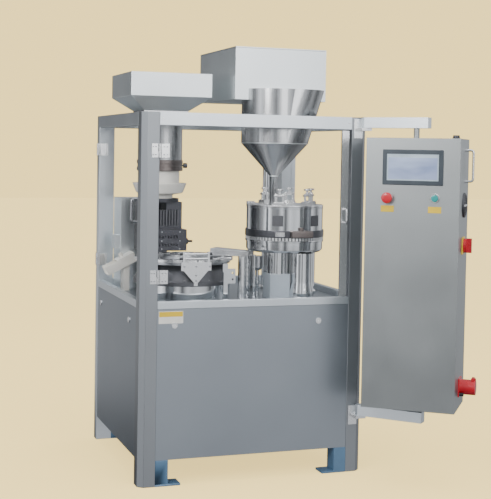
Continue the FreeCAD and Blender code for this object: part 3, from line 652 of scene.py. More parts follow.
class FILLER_OT_locks(bpy.types.Operator):
    """Quarter-turn locks in the front and left covers"""
    bl_idname = "filler.locks"
    bl_label = "Panel locks"

    def execute(self, context):
        for node, body in (("lock_front_left", "lock_fl"), ("lock_front_right", "lock_fr"),
                           ("lock_left_front", "lock_lf"), ("lock_left_rear", "lock_lr")):
            lock = refined(node, sizes().fine_edge)
            finish(lock, node + "_barrel", body, "hinge_bright", bright_steel(), node)
        return {"FINISHED"}


# ---------------------------------------------------------------- doors

HINGE_HEIGHTS = (0.938, 0.974, 1.508, 1.544)


class FILLER_OT_doors(bpy.types.Operator):
    """Clear panes, hinge leaves with screws, stile and bow handles"""
    bl_idname = "filler.doors"
    bl_label = "Doors"

    def execute(self, context):
        fine = sizes().fine_edge
        for node, body in (("front_door_pane", "front_door"), ("left_door_pane", "left_door"),
                           ("fixed_panes", "root")):
            pane = refined(node, fine)
            finish(pane, node + "_sheet", body, "clear_acrylic", clear_sheet(), node)
        for node, body in (("front_door_fittings", "front_door"), ("left_door_fittings", "left_door")):
            fittings = refined(node, fine)
            finish(fittings, node + "_leaves", body, "hinge_bright", bright_steel(), node)
        brackets = refined("hinge_brackets", fine)
        finish(brackets, "hinge_and_arm_brackets", "root", "hinge_bright", bright_steel(), "hinge_brackets")
        pane_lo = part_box("front_door_pane")[0]
        face = pane_lo.y - 0.003
        axis_x = pane_lo.x - 0.008
        leaf_columns = (axis_x + 0.020, axis_x + 0.035)
        post_columns = (axis_x - 0.018, axis_x - 0.030)
        for name, body, columns in (("front_door_hinge_screws", "front_door", leaf_columns),
                                    ("front_post_hinge_screws", "root", post_columns)):
            screws = cap_screws([((x, face, z), (0, -1, 0)) for x in columns for z in HINGE_HEIGHTS],
                                sizes().small_screw)
            finish(screws, name, body, "hinge_bright", machined_steel())
        for node, body in (("front_door_handle", "front_door"), ("left_door_handle", "left_door")):
            lo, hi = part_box(node)
            self.bow(node, body, lo, hi)
        return {"FINISHED"}

    def bow(self, node, body, lo, hi):
        """A bent bar grip with collars where it meets the door."""
        r = 0.006
        if body == "front_door":
            x = (lo.x + hi.x) / 2
            ends = [Vector((x, hi.y, z)) for z in (lo.z + r, hi.z - r)]
            out = Vector((0, lo.y + r - hi.y, 0))
        else:
            y = (lo.y + hi.y) / 2
            ends = [Vector((hi.x, y, z)) for z in (lo.z + r, hi.z - r)]
            out = Vector((lo.x + r - hi.x, 0, 0))
        low, high = ends
        grip = pipe([low, low + out, high + out, high], r * 0.95, 0.012)
        collars = [round_bar(end, end + out.normalized() * 0.004, r * 1.5, 0.0008) for end in ends]
        material = bright_steel() if body == "front_door" else machined_steel()
        finish(joined([grip] + collars), node + "_bow", body, "black_plastic", material, node)


# ---------------------------------------------------------------- capsule feed

class FILLER_OT_capsule_feed(bpy.types.Operator):
    """Capsule hopper, neck, clamp band and cup"""
    bl_idname = "filler.capsule_feed"
    bl_label = "Capsule feed"

    def execute(self, context):
        hopper = refined("capsule_hopper", sizes().edge * 0.6, 2, 20.0)
        finish(hopper, "capsule_hopper_sheet", "root", "hopper_steel", hopper_steel(), "capsule_hopper",
               smooth=20.0)
        mid = middle("capsule_neck")
        x, y = mid.x, mid.y
        lo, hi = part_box("capsule_neck")
        wall = 0.003
        out = 0.110
        neck = lathe(x, y, [(out, lo.z), (out, hi.z - 0.008), (out - wall, hi.z - 0.008), (out - wall, lo.z),
                            (out, lo.z)])
        flange = block((lo.x, lo.y, hi.z - 0.008), (hi.x, hi.y, hi.z), sizes().fine_edge)
        flange = cut_with(flange, round_bar((x, y, hi.z - 0.02), (x, y, hi.z + 0.02), out - wall, 0, ROUND))
        bead = lathe(x, y, [(out, hi.z - 0.016), (out + 0.004, hi.z - 0.012), (out + 0.004, hi.z - 0.009),
                            (out, hi.z - 0.008), (out - 0.001, hi.z - 0.012), (out, hi.z - 0.016)])
        finish(joined([neck, flange, bead]), "capsule_neck_tube", "root", "polished_steel", shaded_cone_steel(),
               "capsule_neck")
        lo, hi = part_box("capsule_collar")
        band = lathe(x, y,
                     [(0.112, lo.z), (0.114, lo.z + 0.002), (0.114, lo.z + 0.018), (0.111, lo.z + 0.020),
                      (0.111, hi.z - 0.020), (0.114, hi.z - 0.018), (0.114, hi.z - 0.002), (0.112, hi.z),
                      (0.066, hi.z), (0.066, lo.z), (0.112, lo.z)])
        finish(band, "capsule_collar_band", "root", "collar_bronze", bronze_band(), "capsule_collar")
        z = (lo.z + hi.z) / 2
        stem = round_bar((x + 0.110, y, z), (x + 0.124, y, z), 0.005)
        knob = round_bar((x + 0.122, y, z), (x + 0.140, y, z), 0.013, 0.002, 40)
        finish(joined([stem, knob]), "collar_thumb_knob", "root", "collar_bronze", dark_metal_and_pocket_shade())
        self.cup(x, y)
        return {"FINISHED"}

    def cup(self, x, y):
        lo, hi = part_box("capsule_cup")
        rim = lo.z + 0.082
        throat = lathe(x, y,
                       [(0.098, rim), (0.098, hi.z - 0.004), (0.096, hi.z), (0.092, hi.z),
                        (0.092, rim - 0.006), (0.096, rim - 0.006), (0.098, rim)])
        finish(throat, "capsule_throat_tube", "root", "white_plastic", white_plastic())
        bowl = lathe(x, y, [(0.060, lo.z), (0.066, lo.z), (0.066, lo.z + 0.022), (0.072, lo.z + 0.025),
                            (0.112, lo.z + 0.032), (0.118, lo.z + 0.038), (0.134, rim - 0.003), (0.133, rim),
                            (0.128, rim), (0.112, lo.z + 0.042), (0.074, lo.z + 0.036), (0.060, lo.z + 0.030),
                            (0.060, lo.z)])
        arm_lo = Vector((x - 0.055, y + 0.118, lo.z + 0.056))
        arm = block(arm_lo, arm_lo + Vector((0.110, 0.047, 0.012)), sizes().fine_edge)
        finish(joined([bowl, arm]), "capsule_cup_bowl", "root", "white_plastic", white_plastic(),
               "capsule_cup")


class FILLER_OT_magazine(bpy.types.Operator):
    """Slotted magazine, comb block, their knob, column and guide rods"""
    bl_idname = "filler.magazine"
    bl_label = "Magazine and comb"

    def execute(self, context):
        fine = sizes().fine_edge
        block_piece = refined("magazine_block", fine)
        finish(block_piece, "magazine_body", "magazine", "dark_block", dark_block(), "magazine_block")
        lo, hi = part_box("magazine_block")
        x = (lo.x + hi.x) / 2
        ribs = []
        for index in range(13):
            rib_x = x - 0.0893 + 0.0145 * index
            ribs.append(block((rib_x - 0.0022, lo.y - 0.0015, 1.155),
                              (rib_x + 0.0022, lo.y + 0.002, 1.235), 0.0006))
        finish(joined(ribs), "magazine_fingers", "magazine", "dark_block", dark_metal_and_pocket_shade())
        comb = refined("sorting_block", fine)
        finish(comb, "comb_body", "root", "dark_block", dark_block(), "sorting_block")
        clo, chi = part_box("sorting_block")
        spots = [((sx, clo.y, z), (0, -1, 0)) for sx in (clo.x + 0.012, clo.x + 0.105, chi.x - 0.036)
                 for z in (1.040, 1.080, 1.124)]
        spots += [((chi.x, clo.y + 0.030 * step, 1.124), (1, 0, 0)) for step in (1, 4)]
        finish(cap_screws(spots, sizes().small_screw), "comb_screws", "root", "dark_block", machined_steel())
        knob = refined("magazine_knob", fine * 1.5)
        finish(knob, "magazine_knob_grip", "clamp_knob", "black_plastic", black_plastic(), "magazine_knob")
        column = refined("feed_column", fine)
        finish(column, "feed_column_post", "root", "dark_block", machined_steel(), "feed_column")
        return {"FINISHED"}


# ---------------------------------------------------------------- turret and stations

SEGMENT_COUNT = 12
POCKETS = 6


class FILLER_OT_turret(bpy.types.Operator):
    """Polished drum, disc with centre cap and pocketed capsule segments"""
    bl_idname = "filler.turret"
    bl_label = "Turret"

    def execute(self, context):
        mid = middle("turret_drum")
        x, y = mid.x, mid.y
        lo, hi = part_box("turret_drum")
        base = lo.z
        drum = lathe(x, y,
                     [(0.225, base), (0.225, base + 0.080), (0.217, base + 0.080), (0.217, base),
                      (0.225, base)], 128)
        finish(drum, "turret_drum_wall", "root", "polished_steel", polished_steel(), "turret_drum")
        dome = lathe(x, y,
                     [(0.218, base + 0.080), (0.239, base + 0.080), (0.242, base + 0.083),
                      (0.242, base + 0.098), (0.239, base + 0.101), (0.234, base + 0.106),
                      (0.226, base + 0.125), (0.213, base + 0.148), (0.199, base + 0.162), (0.186, hi.z),
                      (0.021, hi.z), (0.021, hi.z - 0.010), (0.168, hi.z - 0.010), (0.218, base + 0.080)],
                      128)
        finish(dome, "turret_dome", "root", "polished_steel", dark_metal_and_pocket_shade())
        bolts = [(around(x, y, 0.232, 15 + 30 * index, base + 0.1055), (0, 0, 1)) for index in range(12)]
        finish(cap_screws(bolts, sizes().small_screw), "turret_ledge_screws", "root", "polished_steel",
               machined_steel())
        disc = refined("turret_disc", sizes().fine_edge)
        finish(disc, "turret_disc_plate", "turret", "machined_grey", machined_steel(), "turret_disc")
        crown = lathe(x, y, [(0.070, 1.0221), (0.070, 1.027), (0.064, 1.030), (0.030, 1.030), (0.028, 1.036),
                             (0.004, 1.038)], 64)
        finish(crown, "turret_centre_cap", "turret", "machined_grey", bright_steel())
        self.segments(x, y)
        return {"FINISHED"}

    def segments(self, x, y):
        """Holders with two rows of pockets, each pocket a dark disc of painted shade, and two screws each."""
        body = refined("capsule_segments", sizes().fine_edge)
        finish(body, "capsule_holders", "turret", "machined_grey", bright_steel(), "capsule_segments")
        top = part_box("capsule_segments")[1].z
        pocket_shade_discs = []
        screws = []
        span = 360 / SEGMENT_COUNT
        r = sizes().pocket
        for segment in range(SEGMENT_COUNT):
            for row in (0.207, 0.222):
                for pocket in range(POCKETS):
                    angle = segment * span + 4.6 + pocket * (span - 9.2) / (POCKETS - 1)
                    spot = around(x, y, row, angle, top)
                    # Each pocket is a dark disc standing proud of the top, painted shade in place of the
                    # bore.
                    pocket_shade_discs.append(round_bar(spot - Vector((0, 0, 0.002)), spot + Vector((0, 0, 0.0006)), r,
                                            0, 14))
            screws += [(around(x, y, 0.189, segment * span + turn, top), (0, 0, 1)) for turn in (7, 23)]
        finish(joined(pocket_shade_discs), "capsule_pocket_shade", "turret", "machined_grey", dark_metal_and_pocket_shade())
        finish(cap_screws(screws, sizes().small_screw), "holder_screws", "turret", "machined_grey",
               machined_steel())


class FILLER_OT_stations(bpy.types.Operator):
    """Front station bracket, closing station and ejector group"""
    bl_idname = "filler.stations"
    bl_label = "Stations"

    def execute(self, context):
        fine = sizes().fine_edge
        bracket = refined("station_bracket", fine)
        finish(bracket, "station_bracket_plate", "root", "machined_grey", bright_steel(), "station_bracket")
        lo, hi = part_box("station_bracket")
        tips = []
        for z in (1.028, 1.050):
            for x0, x1 in ((lo.x - 0.001, lo.x + 0.012), (hi.x - 0.012, hi.x + 0.001)):
                tips.append(round_bar((x0, -0.403, z), (x1, -0.403, z), 0.0062, 0.001))
        finish(joined(tips), "tie_rod_ends", "root", "black_plastic", black_plastic())
        spots = [((x, lo.y, 0.992), (0, -1, 0)) for x in (lo.x + 0.020, lo.x + 0.077, hi.x - 0.012)]
        spots += [((-0.262, -0.404, z), (0, -1, 0)) for z in (0.925, 0.950)]
        finish(cap_screws(spots, sizes().screw * 0.8), "station_screws", "root", "machined_grey",
               machined_steel())
        station = refined("closing_station", fine)
        finish(station, "closing_cover", "root", "machined_grey", bright_steel(), "closing_station")
        group = refined("ejector_group", fine)
        finish(group, "ejector_posts", "root", "polished_steel", polished_steel(), "ejector_group")
        return {"FINISHED"}


class FILLER_OT_separator(bpy.types.Operator):
    """Separator housing and discharge chute"""
    bl_idname = "filler.separator"
    bl_label = "Separator and chute"

    def execute(self, context):
        housing = refined("separator_housing", sizes().edge)
        finish(housing, "separator_cover", "root", "panel_steel", hopper_steel(), "separator_housing")
        chute = refined("discharge_chute", sizes().fine_edge)
        finish(chute, "chute_trough", "root", "white_plastic", white_plastic(), "discharge_chute")
        return {"FINISHED"}


# ---------------------------------------------------------------- dosing unit

CLAMPS = ((118, 0.135), (59, 0.135), (-5, 0.135), (-57, 0.135), (-120, 0.168))


class FILLER_OT_dosing(bpy.types.Operator):
    """Dosing bowls, slotted disc, dark band, scraper and columns"""
    bl_idname = "filler.dosing"
    bl_label = "Dosing unit"

    def execute(self, context):
        mid = middle("dosing_base")
        x, y = mid.x, mid.y
        lo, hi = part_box("dosing_base")
        base = lathe(x, y, [(0.021, lo.z), (0.160, lo.z), (0.176, lo.z + 0.002), (0.188, lo.z + 0.011),
                            (0.190, lo.z + 0.016), (0.190, lo.z + 0.052), (0.1945, lo.z + 0.0525),
                            (0.195, lo.z + 0.054), (0.195, hi.z - 0.0015), (0.1935, hi.z), (0.021, hi.z),
                            (0.021, lo.z)], 128)
        finish(base, "dosing_base_bowl", "root", "polished_steel", polished_steel(), "dosing_base")
        disc = refined("dosing_disc", 0.0004, 1)
        finish(disc, "dosing_disc_plate", "dosing", "machined_grey", bright_teeth(), "dosing_disc")
        # Painted shade: a thin dark ring riding with the disc shows through its gaps in place of the shade
        # there.
        gap_shade_ring = lathe(x, y, [(0.1866, 1.0990), (0.1874, 1.0990), (0.1874, 1.1130), (0.1866, 1.1130),
                                 (0.1866, 1.0990)], 128)
        finish(gap_shade_ring, "dosing_disc_gap_shade", "dosing", "machined_grey", charcoal_and_gap_shade())
        self.bowl(x, y)
        self.columns()
        return {"FINISHED"}

    def bowl(self, x, y):
        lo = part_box("powder_bowl")[0]
        wall = lathe(x, y, [(0.186, lo.z + 0.034), (0.190, lo.z + 0.034), (0.190, lo.z + 0.140),
                            (0.1915, lo.z + 0.142), (0.1915, lo.z + 0.147), (0.190, lo.z + 0.148),
                            (0.186, lo.z + 0.148), (0.186, lo.z + 0.034)], 128)
        finish(wall, "powder_bowl_wall", "root", "polished_steel", polished_steel(), "powder_bowl")
        band = lathe(x, y, [(0.184, lo.z), (0.1945, lo.z), (0.196, lo.z + 0.002), (0.196, lo.z + 0.030),
                            (0.1945, lo.z + 0.034), (0.184, lo.z + 0.034), (0.184, lo.z)], 128)
        finish(band, "powder_bowl_band", "root", "polished_steel", charcoal_and_gap_shade())
        scraper = block((x - 0.044, y - 0.218, lo.z + 0.0005), (x + 0.068, y - 0.150, lo.z + 0.036), 0.006, 4)
        scraper = cut_with(scraper, round_bar((x, y, lo.z - 0.01), (x, y, lo.z + 0.06), 0.1963, 0, 128))
        cap = round_bar((x + 0.012, y - 0.1990, lo.z + 0.036), (x + 0.012, y - 0.1990, lo.z + 0.051),
                        0.011, 0.002)
        finish(joined([scraper, cap]), "scraper_body", "root", "polished_steel", bronze_band())
        self.plates(x, y, lo.z)

    def plates(self, x, y, z):
        """Blank plates and latch marks round the wall, each bent to it."""
        for name, degrees, low, high, half, material in (
                ("bowl_window_front", 239, 0.056, 0.108, 8.0, dark_metal_and_pocket_shade()),
                ("bowl_window_right", 300, 0.056, 0.108, 8.0, dark_metal_and_pocket_shade()),
                ("bowl_band_plate", 243, 0.006, 0.028, 6.5, bright_steel())):
            out = 0.1925 if low > 0.03 else 0.1975
            strip = []
            for step in range(6):
                a0 = degrees - half + step * half / 3
                corner = [around(x, y, out - 0.003, a0 + half / 6, 0)]
                centre = corner[0]
                centre.z = z + (low + high) / 2
                piece = block((-0.0015, -out * math.radians(half / 6) * 1.02, -(high - low) / 2),
                              (0.0015, out * math.radians(half / 6) * 1.02, (high - low) / 2))
                piece.rotation_euler = (0, 0, math.radians(a0 + half / 6))
                piece.location = centre + Vector((math.cos(math.radians(a0 + half / 6)) * 0.0015,
                                                  math.sin(math.radians(a0 + half / 6)) * 0.0015, 0))
                strip.append(settle(piece))
            finish(joined(strip), name, "root", "polished_steel", material)

    def columns(self):
        base = ((0.149, -0.286, 0.80), (0.253, -0.182, 0.9352))
        grip = ((0.098, -0.192, 0.940), (0.152, -0.138, 1.020))
        columns = refined("dosing_pedestals", sizes().fine_edge, 2, 30.0)
        columns = faces_within(faces_within(columns, *base, False), *grip, False)
        finish(columns, "dosing_columns", "root", "polished_steel", polished_steel(), "dosing_pedestals",
               smooth=30.0)
        for name, corners, material in (("dosing_base_block", base, pale_film()),
                                        ("dosing_pin_cup", grip, machined_steel())):
            piece = faces_within(refined("dosing_pedestals", sizes().fine_edge, 2, 30.0), *corners)
            finish(piece, name, "root", "polished_steel", material, "dosing_pedestals", smooth=30.0)


class FILLER_OT_tamping(bpy.types.Operator):
    """Tamping plate, guide rods, pins and clamps with round knobs"""
    bl_idname = "filler.tamping"
    bl_label = "Tamping head"

    def execute(self, context):
        fine = sizes().fine_edge
        head = refined("tamping_head", fine)
        finish(head, "tamping_plate", "tamping", "polished_steel", bright_steel(), "tamping_head")
        mid = middle("dosing_base")
        lo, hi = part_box("tamping_clamps")
        spots = []
        clamps = []
        for degrees, radius in CLAMPS:
            centre = around(mid.x, mid.y, radius, degrees, 0)
            turn = Matrix.Rotation(math.radians(degrees), 4, "Z")
            clamps.append(self.clamp(centre, turn, lo.z, hi.z))
            for sy in (-0.019, 0.019):
                for sx in (-0.013, 0.013):
                    spot = centre + turn @ Vector((sx, sy, 0))
                    spots.append(((spot.x, spot.y, lo.z + 0.0155), (0, 0, 1)))
        finish(joined(clamps), "tamping_clamp_sets", "tamping", "polished_steel", bright_steel(),
               "tamping_clamps")
        spots += [(around(mid.x, mid.y, 0.180, 20 + 40 * index, lo.z), (0, 0, 1)) for index in range(9)]
        finish(cap_screws(spots, sizes().small_screw), "tamping_screws", "tamping", "polished_steel",
               machined_steel())
        return {"FINISHED"}

    def clamp(self, centre, turn, low, high):
        """Base, two posts, bridge and a round knob on its stem."""
        parts = [block((-0.020, -0.026, low), (0.020, 0.026, low + 0.0155), 0.0012)]
        for side in (-1, 1):
            parts.append(round_bar((0, side * 0.018, low + 0.015), (0, side * 0.018, low + 0.042), 0.006,
                                   0, 24))
            parts.append(round_bar((0, side * 0.018, low + 0.050), (0, side * 0.018, low + 0.056), 0.0065,
                                   0.001, 6))
        parts.append(block((-0.010, -0.026, low + 0.0415), (0.010, 0.026, low + 0.0505), 0.001))
        parts.append(round_bar((0, 0, low + 0.050), (0, 0, high - 0.009), 0.006, 0, 24))
        parts.append(round_bar((0, 0, low + 0.053), (0, 0, low + 0.061), 0.010, 0.0015, 24))
        parts.append(round_bar((0, 0, high - 0.010), (0, 0, high), 0.018, 0.0025, 48))
        piece = joined(parts)
        piece.matrix_world = Matrix.Translation((centre.x, centre.y, 0)) @ turn
        return settle(piece)


class FILLER_OT_powder_hopper(bpy.types.Operator):
    """Leaning powder hopper with its weld beads, outlet tube and support column"""
    bl_idname = "filler.powder_hopper"
    bl_label = "Powder hopper"

    def execute(self, context):
        # The hopper shell takes the darkened polished steel as painted shade.
        hopper = refined("powder_hopper", 0.0)
        finish(hopper, "powder_hopper_shell", "root", "hopper_steel", shaded_cone_steel(), "powder_hopper",
               smooth=12.0)
        column = refined("hopper_column", sizes().fine_edge)
        finish(column, "hopper_support", "root", "hopper_steel", polished_steel(), "hopper_column")
        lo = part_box("powder_hopper")[0]
        x = lo.x + 0.163
        y = lo.y + 0.163
        seam = lathe(x, y,
                     [(0.1625, 1.5680), (0.1642, 1.5690), (0.1642, 1.5710), (0.1625, 1.5720),
                      (0.1610, 1.5700), (0.1625, 1.5680)], ROUND)
        tip = lathe(x, y,
                    [(0.0195, 1.4080), (0.0215, 1.4100), (0.0215, 1.4135), (0.0205, 1.4150),
                     (0.0190, 1.4120), (0.0195, 1.4080)], 48)
        finish(joined([seam, tip]), "hopper_weld_beads", "root", "hopper_steel", hopper_steel())
        return {"FINISHED"}


class FILLER_OT_loading_box(bpy.types.Operator):
    """Loading box over the hopper and its hinged lid"""
    bl_idname = "filler.loading_box"
    bl_label = "Loading box"

    def execute(self, context):
        edge = sizes().edge
        case = refined("hopper_box", edge * 0.6, 2, 60.0)
        finish(case, "loading_box_case", "root", "hopper_steel", hopper_steel(), "hopper_box")
        lid = refined("hopper_lid", edge * 0.5, 2, 60.0)
        finish(lid, "loading_box_lid", "lid", "hopper_steel", hopper_steel(), "hopper_lid")
        return {"FINISHED"}


class FILLER_OT_drive(bpy.types.Operator):
    """Drive train inside the cabinet"""
    bl_idname = "filler.drive"
    bl_label = "Drive"

    def execute(self, context):
        for node in ("drive_housings", "gear_motor", "vacuum_pump"):
            finish(refined(node, sizes().edge), node + "_casting", "root", "drive_iron", drive_paint(), node)
        shaft = refined("camshaft", sizes().edge)
        finish(shaft, "camshaft_casting", "cams", "polished_steel", machined_steel(), "camshaft")
        return {"FINISHED"}


# ---------------------------------------------------------------- control box

BOX_TURN = math.radians(-37.2)


def box_frame():
    """The control box's own axes: x across its front, y to its back."""
    pivot = next(j for j in frame["joints"] if j["name"] == "box_swivel")["pos_m"]
    return Matrix.Translation((pivot[0], pivot[1], 0)) @ Matrix.Rotation(BOX_TURN, 4, "Z")


def on_box(piece):
    """Move a piece drawn in the box's own axes to its place."""
    piece.matrix_world = box_frame() @ piece.matrix_world
    return settle(piece)


FACE = -0.150
LEFT = -0.204
SIDE = 0.224
TOP = 1.603
BUTTON_Z = (1.330, 1.333)
FAN_Z = 1.300
SWITCH_Z = 1.115
CLIP_Z = 0.432


class FILLER_OT_swing_arms(bpy.types.Operator):
    """Two square swing arms with end caps"""
    bl_idname = "filler.swing_arms"
    bl_label = "Swing arms"

    def execute(self, context):
        arms = refined("swing_arms", sizes().edge, 3)
        finish(arms, "swing_arm_tubes", "arms", "frame_steel", rail_steel(), "swing_arms")
        return {"FINISHED"}


class FILLER_OT_control_box(bpy.types.Operator):
    """Cabinet shell with a folded front, rear cover screws and top fitting"""
    bl_idname = "filler.control_box"
    bl_label = "Control box"

    def execute(self, context):
        shell = refined("control_box", sizes().edge, 3, 60.0)
        finish(shell, "control_box_shell", "control", "box_steel", control_steel(), "control_box")
        columns = (LEFT + 0.019, SIDE - 0.019)
        spots = [((x, -FACE, z), (0, 1, 0)) for x in columns for z in (0.42, 0.80, 1.18, 1.56)]
        screws = on_box(cap_screws(spots, sizes().screw))
        finish(screws, "rear_cover_screws", "control", "box_steel", bright_steel())
        return {"FINISHED"}


class FILLER_OT_touch_screen(bpy.types.Operator):
    """Touch screen with rounded bezel, light frame and lit display"""
    bl_idname = "filler.touch_screen"
    bl_label = "Touch screen"

    def execute(self, context):
        x0, x1, z0, z1 = LEFT + 0.078, LEFT + 0.353, 1.390, 1.550
        bezel = block((x0, FACE - 0.006, z0), (x1, FACE, z1), 0.003, 3)
        window = block((x0 + 0.020, FACE - 0.02, z0 + 0.020), (x1 - 0.020, FACE - 0.0035, z1 - 0.020))
        bezel = cut_with(bezel, window)
        finish(on_box(bezel), "screen_bezel", "control", "screen_black", bezel_grey(), "touch_screen")
        surround = block((x0 + 0.020, FACE - 0.0045, z0 + 0.020), (x1 - 0.020, FACE - 0.0034, z1 - 0.020),
                         0.0003)
        finish(on_box(surround), "screen_surround", "control", "screen_black",
               screen_light())
        display = block((x0 + 0.026, FACE - 0.0050, z0 + 0.026), (x1 - 0.026, FACE - 0.0040, z1 - 0.036),
                        0.0003)
        finish(on_box(display), "screen_display", "control", "screen_black", screen_glow())
        return {"FINISHED"}


class FILLER_OT_buttons(bpy.types.Operator):
    """Stop mushroom, start button, collars and blank legend plates"""
    bl_idname = "filler.buttons"
    bl_label = "Buttons"

    def execute(self, context):
        stop_x, start_x = LEFT + 0.103, LEFT + 0.318
        self.button("stop_button", "stop", stop_x, BUTTON_Z[0], 0.025, 0.030, signal_red(), "signal_red")
        self.button("start_button", "start", start_x, BUTTON_Z[1], 0.016, 0.013, start_green(),
                    "signal_green")
        collars = []
        for x, z, inner in ((stop_x, BUTTON_Z[0], 0.0185), (start_x, BUTTON_Z[1], 0.0165)):
            rim = lathe(0, 0,
                        [(inner, 0), (inner + 0.0050, 0), (inner + 0.0050, 0.0030),
                         (inner + 0.0035, 0.0045), (inner, 0.0045), (inner, 0)], 48)
            rim.matrix_world = Matrix.Translation((x, FACE, z)) @ Matrix.Rotation(math.radians(90), 4, "X")
            collars.append(settle(rim))
        finish(on_box(joined(collars)), "button_collars", "control", "box_steel", bright_steel())
        plates = []
        for x in (stop_x, start_x):
            plates.append(block((x - 0.030, FACE - 0.0015, 1.266), (x + 0.030, FACE, 1.295), 0.0004))
        finish(on_box(joined(plates)), "legend_plates", "control", "black_plastic", plate_yellow(),
               "box_fittings")
        return {"FINISHED"}

    def button(self, node, body, x, z, radius, height, material, slot):
        """A domed cap on its stem, pressed along the box's depth."""
        rings = [(0.0078, -0.017), (0.0078, 0.0052), (radius * 0.72, 0.0056), (radius * 0.72, height * 0.42),
                 (radius, height * 0.5), (radius, height * 0.78), (radius * 0.93, height * 0.92),
                 (radius * 0.75, height * 0.985), (radius * 0.3, height)]
        cap = lathe(0, 0, rings, 64)
        cap.matrix_world = Matrix.Translation((x, FACE, z)) @ Matrix.Rotation(math.radians(90), 4, "X")
        settle(cap)
        finish(on_box(cap), node + "_cap", body, slot, material, node)


class FILLER_OT_side_fittings(bpy.types.Operator):
    """Side handle, fan guard, main switch and power inlet"""
    bl_idname = "filler.side_fittings"
    bl_label = "Side fittings"

    def execute(self, context):
        fine = sizes().fine_edge
        grip = pipe([(SIDE, 0.060, 1.408), (SIDE + 0.032, 0.060, 1.408), (SIDE + 0.032, 0.060, 1.552),
                     (SIDE, 0.060, 1.552)], 0.0057, 0.014)
        finish(on_box(grip), "box_side_handle", "control", "black_plastic", bright_steel())
        self.fan(fine)
        plate = block((SIDE, -0.039, SWITCH_Z - 0.039), (SIDE + 0.005, 0.039, SWITCH_Z + 0.039), 0.0012)
        finish(on_box(plate), "switch_plate", "control", "black_plastic", plate_yellow())
        clip = round_bar((SIDE + 0.006, -0.034, CLIP_Z), (SIDE + 0.026, -0.034, CLIP_Z), 0.0078, 0.0015, 32)
        finish(on_box(clip), "inlet_clip", "control", "black_plastic", black_plastic())
        gland = lathe(SIDE - 0.030, -0.080,
                      [(0.0005, TOP), (0.0178, TOP), (0.0178, TOP + 0.0045), (0.0150, TOP + 0.0060),
                       (0.0150, TOP + 0.0140), (0.0125, TOP + 0.0158), (0.0060, TOP + 0.0158),
                       (0.0055, TOP + 0.0110), (0.0005, TOP + 0.0105)], 48)
        finish(on_box(gland), "cable_gland", "control", "black_plastic", charcoal_and_gap_shade())
        knob = refined("switch_knob", fine * 2.5, 3)
        finish(knob, "main_switch_knob", "switch", "signal_red", signal_red(), "switch_knob")
        socket = refined("power_socket", fine * 1.3)
        finish(socket, "power_inlet", "control", "signal_red", signal_red(), "power_socket")
        flap = refined("socket_flap", fine * 1.5)
        finish(flap, "power_inlet_flap", "flap", "signal_red", signal_red(), "socket_flap")
        return {"FINISHED"}

    def fan(self, fine):
        """Round guard with concentric wires over a dark well."""
        outwards = Matrix.Translation((SIDE, 0, FAN_Z)) @ Matrix.Rotation(math.radians(90), 4, "Y")
        rings = []
        for radius in (0.018, 0.028, 0.038, 0.048):
            rings.append(lathe(0, 0,
                               [(radius - 0.0016, 0.007), (radius + 0.0016, 0.007),
                                (radius + 0.0016, 0.0102), (radius - 0.0016, 0.0102),
                                (radius - 0.0016, 0.007)], 48))
        rim = lathe(0, 0,
                    [(0.050, 0), (0.057, 0), (0.057, 0.006), (0.055, 0.0085), (0.050, 0.0085), (0.050, 0)],
                    64)
        ribs = [block((-0.052, -0.0025, 0.0068), (0.052, 0.0025, 0.0094), 0.0006)]
        bar_across = block((-0.0045, -0.050, 0.0080), (0.0045, 0.050, 0.0119), 0.0008)
        bar_across.matrix_world = outwards
        finish(on_box(settle(bar_across)), "fan_guard_bar", "control", "black_plastic", bright_steel())
        guard = joined(rings + [rim] + ribs)
        guard.matrix_world = outwards
        settle(guard)
        finish(on_box(guard), "fan_guard_wires", "control", "black_plastic", dark_metal_and_pocket_shade())
        well = lathe(0, 0,
                     [(0.0502, 0.0001), (0.0502, 0.0022), (0.012, 0.0026), (0.010, 0.0060),
                      (0.002, 0.0064)], 64)
        well.matrix_world = outwards
        settle(well)
        finish(on_box(well), "fan_well", "control", "black_plastic", black_plastic())


# ---------------------------------------------------------------- stage

CAMERA_AT = (-1.796, -5.498, 1.528)
CAMERA_YAW = 19.16
CAMERA_PITCH = 2.383
CAMERA_ROLL = 1.01
CAMERA_LENS = 82.97
CAMERA_SHIFT = -0.1002
BACKDROP_GLOW = 2.09
FLOOR_GLOW = 2.1

# Light levels round the studio from -X through -Y, +X and +Y, and from the ground to the zenith.
CARDS = ((0.0, 0.5), (0.05, 2.4), (0.09, 0.45), (0.14, 0.35), (0.17, 1.3), (0.20, 0.12), (0.235, 1.3),
         (0.27, 1.0), (0.304, 1.2), (0.36, 1.0), (0.40, 0.06), (0.44, 1.1), (0.50, 0.2), (0.55, 0.9),
         (0.60, 1.0), (0.64, 0.15), (0.70, 0.4), (0.74, 0.08), (0.80, 0.19), (0.86, 0.08), (0.90, 0.8),
         (0.95, 0.12), (1.0, 0.5))
HEIGHTS = ((0.0, 0.25), (0.30, 0.35), (0.44, 0.7), (0.52, 1.1), (0.85, 1.6), (1.0, 2.2))
LAMPS = (("key", (1.0, -4.4, 2.5), (0.0, 0.0, 1.7), 30.0, 1.8),
         ("left", (-2.6, -3.0, 2.6), (0.7, -0.8, 1.5), 55.0, 1.2),
         ("low_left", (-2.2, 4.2, 0.3), (-0.5, 0.0, 0.4), 7.5, 2.0),
         ("top", (0.0, 0.2, 4.2), (0.0, 0.0, 1.0), 40.0, 3.0))


